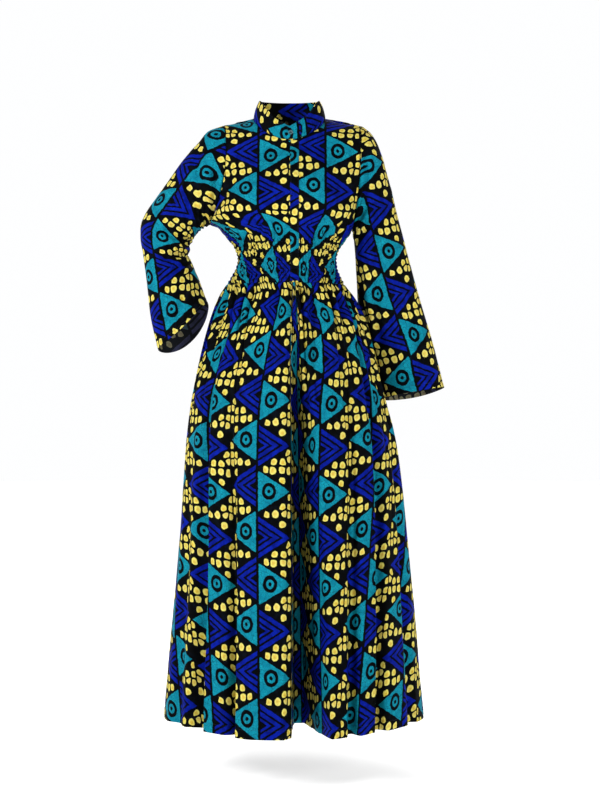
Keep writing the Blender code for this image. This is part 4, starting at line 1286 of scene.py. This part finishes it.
def make_collar():
    start = front_angle()
    left = np.linspace(start + 1.0, 180.0, 150)
    right = np.linspace(-180.0, start + COLLAR_OVERLAP_DEG, 170)
    angles = np.concatenate([left, right[1:]])
    lap = np.concatenate([np.zeros(len(left)), collar_lap(right[1:])])
    ups = np.linspace(0, 1, 26)
    # Both ends have a rounded top corner.
    ring = collar_row(angles, 0.5, lap)
    along = np.concatenate([[0], np.cumsum(np.linalg.norm(np.diff(ring, axis=0), axis=1))])
    corner = 0.008
    end = np.minimum(along, along[-1] - along)
    d = np.clip(end / corner, 0, 1)
    drop = (1 - np.sqrt(np.clip(1 - (1 - d) ** 2, 0, 1))) * corner
    base = np.stack([collar_row(angles, u, lap) for u in ups])
    height = lengths(base, 0)
    cut = 1 - drop / height[-1]
    base = np.stack([collar_row(angles, u * cut, lap) for u in ups])
    height = lengths(base, 0)
    normals = grid_normals(base, (NECK_X, 0.0, 0.0))
    s = np.broadcast_to(along[None, :], height.shape)
    top = height[-1:] - height
    from_end = np.broadcast_to(end[None, :], height.shape)
    edge = np.minimum(top, from_end)
    out = -0.0005 * np.exp(-edge / 0.0008) + groove(edge - 0.0032, 0.0004, 0.0010)
    out = out + groove(height, 0.0005, 0.0018) + smooth_noise(s / 0.035, height / 0.02, 101) * 0.0007 * eased(edge / 0.01)
    out = out + smooth_noise(s / 0.011, 0 * s, 102) * 0.0005 * np.exp(-height / 0.006)
    points = base + normals * out[..., None]
    uv = np.stack([s + 0.050, height + 0.030], axis=2)
    # The collar's seam allowance hangs inside the neck of the bodice.
    low = points[0] - normals[0] * 0.0024
    hanging = np.stack([low - [0, 0, 0.0085], low - [0, 0, 0.0040], low])
    p = np.concatenate([hanging, points])
    n = np.concatenate([np.repeat(normals[:1], 3, axis=0), normals])
    w = np.concatenate([np.stack([uv[0] - [0, d] for d in (0.0110, 0.0065, 0.0025)]), uv])
    obj = make_cloth("collar_cloth", p, w, None, [RIGHT_SIDE], thickness=0.0016, normals=n)
    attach(obj, "root")
    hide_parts("collar")
    # Stitching 3.2 mm inside the top edge and the lapped end.
    line, line_n = [], []
    n_now = grid_normals(points, (NECK_X, 0.0, 0.0))
    for j in range(len(angles)):
        if along[j] < 0.0032 or along[-1] - along[j] < 0.0032:
            continue
        i = int(np.argmin(np.abs(top[:, j] - 0.0032)))
        line.append(points[i, j])
        line_n.append(n_now[i, j])
    stitch("collar_stitches", np.array(line), np.array(line_n), lift=0.0)
    j = int(np.argmin(np.abs(along[-1] - along - 0.0032)))
    stitch("collar_stitches", points[1:20, j], n_now[1:20, j], lift=0.0)
    return obj


def make_button():
    """A four-hole button with a raised rim, sewn on with crossed thread through its holes."""
    r, t = BUTTON_RADIUS, BUTTON_THICK
    profile = [
        (0.0, t * 0.60), (r * 0.30, t * 0.585), (r * 0.50, t * 0.60), (r * 0.60, t * 0.68), (r * 0.68, t * 0.84),
        (r * 0.76, t * 0.96), (r * 0.84, t), (r * 0.92, t * 0.95), (r * 0.975, t * 0.80), (r, t * 0.60),
        (r * 0.985, t * 0.38), (r * 0.93, t * 0.16), (r * 0.84, t * 0.03), (r * 0.70, 0.0), (0.0, 0.0),
    ]
    mesh = bpy.data.meshes.new("button")
    mesh.from_pydata([(x, 0, z) for x, z in profile], [(i, i + 1) for i in range(len(profile) - 1)], [])
    obj = bpy.data.objects.new("collar_button_turned", mesh)
    bpy.context.scene.collection.objects.link(obj)
    screw = obj.modifiers.new("turn", "SCREW")
    screw.steps = screw.render_steps = 72
    screw.use_merge_vertices, screw.merge_threshold = True, 0.00001
    weld = obj.modifiers.new("weld", "WELD")
    weld.merge_threshold = 0.00001
    bm = bmesh.new()
    holes_at = []
    for k in range(4):
        a = math.radians(45 + 90 * k)
        at = (0.0016 * math.cos(a), 0.0016 * math.sin(a), 0)
        holes_at.append(at)
        ring = bmesh.ops.create_cone(bm, cap_ends=True, segments=24, radius1=0.00072, radius2=0.00072, depth=0.01)["verts"]
        bmesh.ops.translate(bm, verts=ring, vec=at)
    holes_mesh = bpy.data.meshes.new("button_holes")
    bm.to_mesh(holes_mesh)
    bm.free()
    holes = bpy.data.objects.new("button_holes", holes_mesh)
    bpy.context.scene.collection.objects.link(holes)
    cut = obj.modifiers.new("holes", "BOOLEAN")
    cut.object, cut.operation, cut.solver = holes, "DIFFERENCE", "EXACT"
    depsgraph = bpy.context.evaluated_depsgraph_get()
    made = bpy.data.meshes.new_from_object(obj.evaluated_get(depsgraph))
    bpy.data.objects.remove(obj)
    bpy.data.objects.remove(holes)
    # Where it sits: on the lapped end, square to the collar.
    up, a = 0.46, 2.4
    lap = float(collar_lap(np.array([a]))[0])
    here = collar_row([a], up, lap)[0]
    rise = collar_row([a], up + 0.1, lap)[0] - collar_row([a], up - 0.1, lap)[0]
    along = collar_row([a + 3], up, lap)[0] - collar_row([a - 3], up, lap)[0]
    normal = np.cross(rise, along)
    normal /= np.linalg.norm(normal)
    if normal[1] > 0:
        normal = -normal
    turn = Vector(normal).to_track_quat("Z", "Y").to_matrix().to_4x4()
    turn.translation = Vector(here + normal * 0.0007)
    made.transform(turn)
    made.materials.clear()
    made.materials.append(SHELL)
    obj = bpy.data.objects.new("collar_button_shell", made)
    bpy.context.scene.collection.objects.link(obj)
    made.set_sharp_from_angle(angle=math.radians(35))
    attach(obj, "root")
    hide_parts("collar_button")
    # The thread: two strands each way, over the middle of the button.
    strands = []
    for i, j in ((0, 2), (1, 3)):
        for shift in (-0.00016, 0.00016):
            p, q = np.array(holes_at[i]), np.array(holes_at[j])
            d = (q - p) / np.linalg.norm(q - p)
            across = np.array([-d[1], d[0], 0]) * shift
            base_z, top_z = BUTTON_THICK * 0.2, BUTTON_THICK * (0.72 if i == 0 else 0.86)
            line = [p + across + [0, 0, base_z], p + across + d * 0.0001 + [0, 0, top_z * 0.95]]
            line += [p + across + d * 0.0005 + [0, 0, top_z], (p + q) / 2 + across + [0, 0, top_z * 1.03]]
            line += [q + across - d * 0.0005 + [0, 0, top_z], q + across - d * 0.0001 + [0, 0, top_z * 0.95], q + across + [0, 0, base_z]]
            strands.append(line)
    curve = bpy.data.curves.new("button_thread", "CURVE")
    curve.dimensions = "3D"
    curve.bevel_depth, curve.bevel_resolution, curve.use_fill_caps = 0.00017, 2, True
    for line in strands:
        spline = curve.splines.new("POLY")
        spline.points.add(len(line) - 1)
        for point, place in zip(spline.points, line):
            point.co = (*(turn @ Vector(place)), 1.0)
    source = bpy.data.objects.new("button_thread_curve", curve)
    bpy.context.scene.collection.objects.link(source)
    depsgraph = bpy.context.evaluated_depsgraph_get()
    thread = bpy.data.meshes.new_from_object(source.evaluated_get(depsgraph))
    bpy.data.objects.remove(source)
    thread.materials.clear()
    thread.materials.append(THREAD)
    obj = bpy.data.objects.new("button_thread", thread)
    bpy.context.scene.collection.objects.link(obj)
    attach(obj, "root")


# ---------------------------------------------------------------- the sleeves
SLEEVE_CREASES = {
    # Each crease: side (-1 faces front, 1 faces back), line of places in the picture, depth and width in metres.
    -1: [
        (-1, [(214, 166), (216, 188), (213, 211)], 0.0050, 0.0080),
        (-1, [(187, 181), (188, 197), (190, 213)], 0.0032, 0.0070),
        (-1, [(156, 227), (172, 235), (191, 243)], 0.0046, 0.0085),
        (-1, [(210, 226), (203, 216), (194, 208)], 0.0042, 0.0075),
        (-1, [(191, 244), (182, 236), (170, 222)], 0.0034, 0.0080),
        (-1, [(188, 256), (174, 254), (160, 259)], 0.0044, 0.0080),
        (-1, [(190, 262), (178, 268), (166, 282)], 0.0034, 0.0080),
        (-1, [(199, 232), (190, 224), (183, 212)], 0.0026, 0.0060),
        (-1, [(200, 145), (196, 162), (199, 178)], 0.0022, 0.0090),
        (-1, [(186, 290), (182, 308), (176, 326)], 0.0030, 0.0095),
        (-1, [(168, 280), (166, 304), (163, 330)], 0.0026, 0.0100),
        (1, [(212, 170), (214, 190), (211, 212)], 0.0045, 0.0085),
        (1, [(154, 224), (170, 236), (190, 246)], 0.0050, 0.0090),
        (1, [(190, 256), (174, 256), (156, 262)], 0.0046, 0.0085),
        (1, [(209, 226), (200, 212), (188, 200)], 0.0038, 0.0080),
        (1, [(192, 180), (184, 200), (180, 220)], 0.0030, 0.0090),
        (1, [(184, 284), (178, 306), (172, 330)], 0.0030, 0.0100),
    ],
    1: [
        (-1, [(365, 150), (367, 178), (364, 206)], 0.0034, 0.0080),
        (-1, [(356, 226), (362, 214), (370, 204)], 0.0038, 0.0070),
        (-1, [(355, 244), (364, 232), (376, 226)], 0.0026, 0.0070),
        (-1, [(376, 196), (377, 246), (376, 300), (380, 352)], 0.0042, 0.0100),
        (-1, [(390, 262), (398, 306), (408, 358)], 0.0026, 0.0110),
        (-1, [(358, 262), (363, 300), (371, 340)], 0.0034, 0.0090),
        (-1, [(404, 282), (416, 330), (428, 376)], 0.0020, 0.0100),
        (-1, [(386, 160), (388, 178), (386, 194)], 0.0016, 0.0080),
        (1, [(364, 152), (366, 180), (362, 210)], 0.0036, 0.0085),
        (1, [(380, 200), (386, 262), (396, 330), (402, 380)], 0.0046, 0.0120),
        (1, [(360, 240), (368, 290), (380, 350)], 0.0040, 0.0110),
        (1, [(400, 250), (412, 310), (424, 366)], 0.0030, 0.0110),
    ],
}


def make_sleeve(side, columns, seed):
    name = side_name(side)
    ts = np.concatenate([[0.0009], np.linspace(0.006, 0.985, 150), [0.9885, 0.992, 0.996, 1.0]])
    around = np.linspace(-0.5, 0.5, columns)
    base = np.stack([sleeve_row(side, t, around) for t in ts])
    if side < 0:
        # The cuff hangs lower at the hip and in front than at its outer side.
        a = 2 * math.pi * around
        lower = eased((ts - 0.70) / 0.30)[:, None] * ((0.5 - 0.5 * np.cos(a)) * (0.72 - 0.28 * np.sin(a)))[None, :]
        base = base + (0.042 * lower)[..., None] * np.array([0.182, -0.10, -0.978])
    centres = base.mean(axis=1)
    normals = grid_normals(base, centres)
    arc = lengths(base, 1)
    outer = columns // 2
    s = arc - arc[:, outer:outer + 1]
    # The sleeve unrolled: down it the outer line counts, and across it only what runs square to the sleeve, so the
    # print isn't skewed. In the bend the direction turns, and the inside of the bend holds more cloth than it is long.
    down = lengths(base, 0)
    out_line = down[:, outer]
    turn = eased((ts - 0.22) / 0.60)[:, None]
    if side < 0:
        lead = mix(np.array([[-0.583, 0.0, -0.812]]), np.array([[0.182, -0.10, -0.978]]), turn)
    else:
        lead = np.repeat([[0.268, 0.06, -0.961]], len(ts), axis=0)
    lead /= np.linalg.norm(lead, axis=1)[:, None]
    t_flat = out_line[:, None] + np.sum((base - base[:, outer:outer + 1]) * lead[:, None, :], axis=2)
    step = np.diff(base, axis=1)
    step = step - np.sum(step * lead[:, None, :], axis=2)[..., None] * lead[:, None, :]
    square = np.pad(np.cumsum(np.linalg.norm(step, axis=2), axis=1), [(0, 0), (1, 0)])
    s = square - square[:, outer:outer + 1]
    uv = np.stack([s * 1.0 + 0.021 * side, -t_flat + (0.03 if side > 0 else -0.04)], axis=2)
    facing = normals[..., 1]
    free_ends = eased(out_line[:, None] / 0.02)
    edge = eased(np.minimum(arc, arc[:, -1:] - arc) / 0.008)
    out = smooth_noise(s / 0.055, t_flat / 0.14, seed) * 0.0026 * free_ends * edge
    out += smooth_noise(s / 0.024, t_flat / 0.07, seed + 1) * 0.0010 * free_ends * edge
    for face, line, depth, width in SLEEVE_CREASES[side]:
        y = (-0.045 if face < 0 else 0.07) + (0.03 if side > 0 else 0.0)
        out += 1.7 * crease(base, facing, from_photo(line, y), depth, width * 0.9, face) * edge * free_ends
    if side < 0:
        # Folds across the inside of the elbow, deepest in the bend.
        inner = eased((np.abs(around) - 0.24) / 0.16)[None, :]
        elbow = np.exp(-(((ts - 0.56) / 0.16) ** 2))[:, None]
        out += inner * elbow * 0.0036 * np.sin(2 * math.pi * (ts[:, None] * 8.5 + 1.4 * smooth_noise(s / 0.05, t_flat / 0.08, seed + 2))) * edge
        under = np.exp(-(((ts - 0.10) / 0.09) ** 2))[:, None]
        out += inner * under * 0.0024 * np.sin(2 * math.pi * (ts[:, None] * 17 + 1.2 * smooth_noise(s / 0.05, t_flat / 0.08, seed + 3))) * edge
    else:
        inner = eased((np.abs(around) - 0.26) / 0.16)[None, :]
        under = np.exp(-(((ts - 0.08) / 0.08) ** 2))[:, None]
        out += inner * under * 0.0024 * np.sin(2 * math.pi * (ts[:, None] * 15 + 1.2 * smooth_noise(s / 0.05, t_flat / 0.08, seed + 3))) * edge
    # The cap is eased into the armhole with a few small puckers, and the hem is turned up 15 mm.
    cap = np.exp(-out_line[:, None] / 0.016) * (1 - np.exp(-out_line[:, None] / 0.003))
    out += smooth_noise(s / 0.013, 0 * s, seed + 4) * 0.0016 * cap * eased((0.34 - np.abs(around)) / 0.1)[None, :]
    out += groove(out_line[:, None], 0.0010, 0.0026)
    up = out_line[-1] - out_line
    out += (groove(up - 0.015, 0.0007, 0.0020) + 0.0003 * eased((0.014 - up) / 0.002))[:, None]
    out += smooth_noise(s / 0.010, 0 * s, seed + 5) * 0.0005 * np.exp(-(((up - 0.015) / 0.008) ** 2))[:, None]
    from_seam = np.minimum(arc, arc[:, -1:] - arc)
    out += groove(from_seam, 0.0009, 0.0026)
    points = base + normals * out[..., None]
    for at, beside in ((0, 1), (-1, -2)):
        step = points[:, beside] - points[:, at]
        points[:, at] += step / np.linalg.norm(step, axis=1)[:, None] * GAP
    step = np.diff(points, axis=1)
    step = step - np.sum(step * lead[:, None, :], axis=2)[..., None] * lead[:, None, :]
    square = np.pad(np.cumsum(np.linalg.norm(step, axis=2), axis=1), [(0, 0), (1, 0)])
    s = square - square[:, outer:outer + 1]
    uv = np.stack([s + 0.021 * side, uv[..., 1]], axis=2)
    p, n, w = with_lips(points, normals, uv, ("first_row", "first_column", "last_column"), 0.005)
    obj = make_cloth(f"sleeve_{name}_cloth", p, w, None, [RIGHT_SIDE, WRONG_SIDE], normals=n)
    row = int(np.argmin(np.abs(up - 0.015)))
    n_now = grid_normals(points, centres)
    stitch("sleeve_stitches", points[row], n_now[row])
    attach(obj, "root")
    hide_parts(f"sleeve_{name}")
    return obj


# ---------------------------------------------------------------- the whole dress
make_skirt("front", 345, 17, 7)
make_skirt("back", 300, 16, 17)
make_back(make_bodice())
make_placket()
make_collar()
make_button()
make_sleeve(-1, 97, 31)
make_sleeve(1, 97, 37)
for run in ("hem_stitches", "elastic_stitches", "placket_stitches", "collar_stitches", "sleeve_stitches"):
    make_stitches(run)


# ---------------------------------------------------------------- floor, light and camera
def make_stage():
    mesh = bpy.data.meshes.new("floor")
    ring = 96
    circle = [(14 * math.cos(2 * math.pi * k / ring), 14 * math.sin(2 * math.pi * k / ring), -1.56) for k in range(ring)]
    mesh.from_pydata(circle, [], [list(range(ring))])
    floor = bpy.data.objects.new("floor", mesh)
    bpy.context.scene.collection.objects.link(floor)
    made = bpy.data.materials.new("pale_floor")
    made.use_nodes = True
    shader = made.node_tree.nodes["Principled BSDF"]
    shader.inputs["Base Color"].default_value = (0.78, 0.78, 0.78, 1)
    shader.inputs["Roughness"].default_value = 0.9
    shader.inputs["Specular IOR Level"].default_value = 0.1
    shader.inputs["Emission Color"].default_value = (1, 1, 1, 1)
    shader.inputs["Emission Strength"].default_value = 0.60
    mesh.materials.append(made)


def area_light(name, place, target, size, energy, colour=(1, 1, 1)):
    light = bpy.data.lights.new(name, "AREA")
    light.shape, light.size, light.energy, light.color = "DISK", size, energy, colour
    obj = bpy.data.objects.new(name, light)
    obj.location = place
    obj.rotation_euler = (Vector(target) - Vector(place)).to_track_quat("-Z", "Y").to_euler()
    bpy.context.scene.collection.objects.link(obj)


def make_light():
    # A studio that is bright behind the dress, and dimmer on the side of the photographer.
    world = bpy.data.worlds.new("studio")
    world.use_nodes = True
    k = Nodes(world.node_tree)
    direction = k.new("ShaderNodeSeparateXYZ")
    k.set(direction.inputs[0], k.new("ShaderNodeTexCoord").outputs["Generated"])
    bright = k.new("ShaderNodeMapRange", interpolation_type="SMOOTHSTEP")
    k.set(bright.inputs["Value"], direction.outputs["Y"])
    bright.inputs["From Min"].default_value, bright.inputs["From Max"].default_value = -0.35, 0.75
    bright.inputs["To Min"].default_value, bright.inputs["To Max"].default_value = 0.24, 1.0
    background = world.node_tree.nodes["Background"]
    background.inputs["Color"].default_value = (0.99, 0.995, 1.0, 1)
    k.set(background.inputs["Strength"], bright.outputs["Result"])
    bpy.context.scene.world = world
    area_light("key", (-3.3, -2.5, 1.2), (0, 0, -0.75), 1.2, 136)
    area_light("fill", (2.7, -3.1, 0.3), (0, 0, -0.85), 1.7, 76)
    area_light("back", (0.5, 3.0, 1.6), (0, 0, -0.6), 2.0, 30)


def make_camera():
    camera = bpy.data.cameras.new("camera")
    camera.lens, camera.sensor_width, camera.sensor_fit = 72.375, 36.0, "AUTO"
    obj = bpy.data.objects.new("camera", camera)
    obj.location = (0.0192, -3.86, -0.6768)
    obj.rotation_euler = (math.pi / 2, 0, 0)
    bpy.context.scene.collection.objects.link(obj)
    bpy.context.scene.camera = obj


make_stage()
make_light()
make_camera()
bpy.context.scene.view_settings.view_transform = "Standard"

total = 0
for piece in bpy.data.objects:
    if piece.type == "MESH" and not piece.hide_render and piece.name != "floor":
        count = sum(len(p.vertices) - 2 for p in piece.data.polygons)
        total += count
        print(f"{piece.name}: {count} triangles")
print("triangles in all:", total)
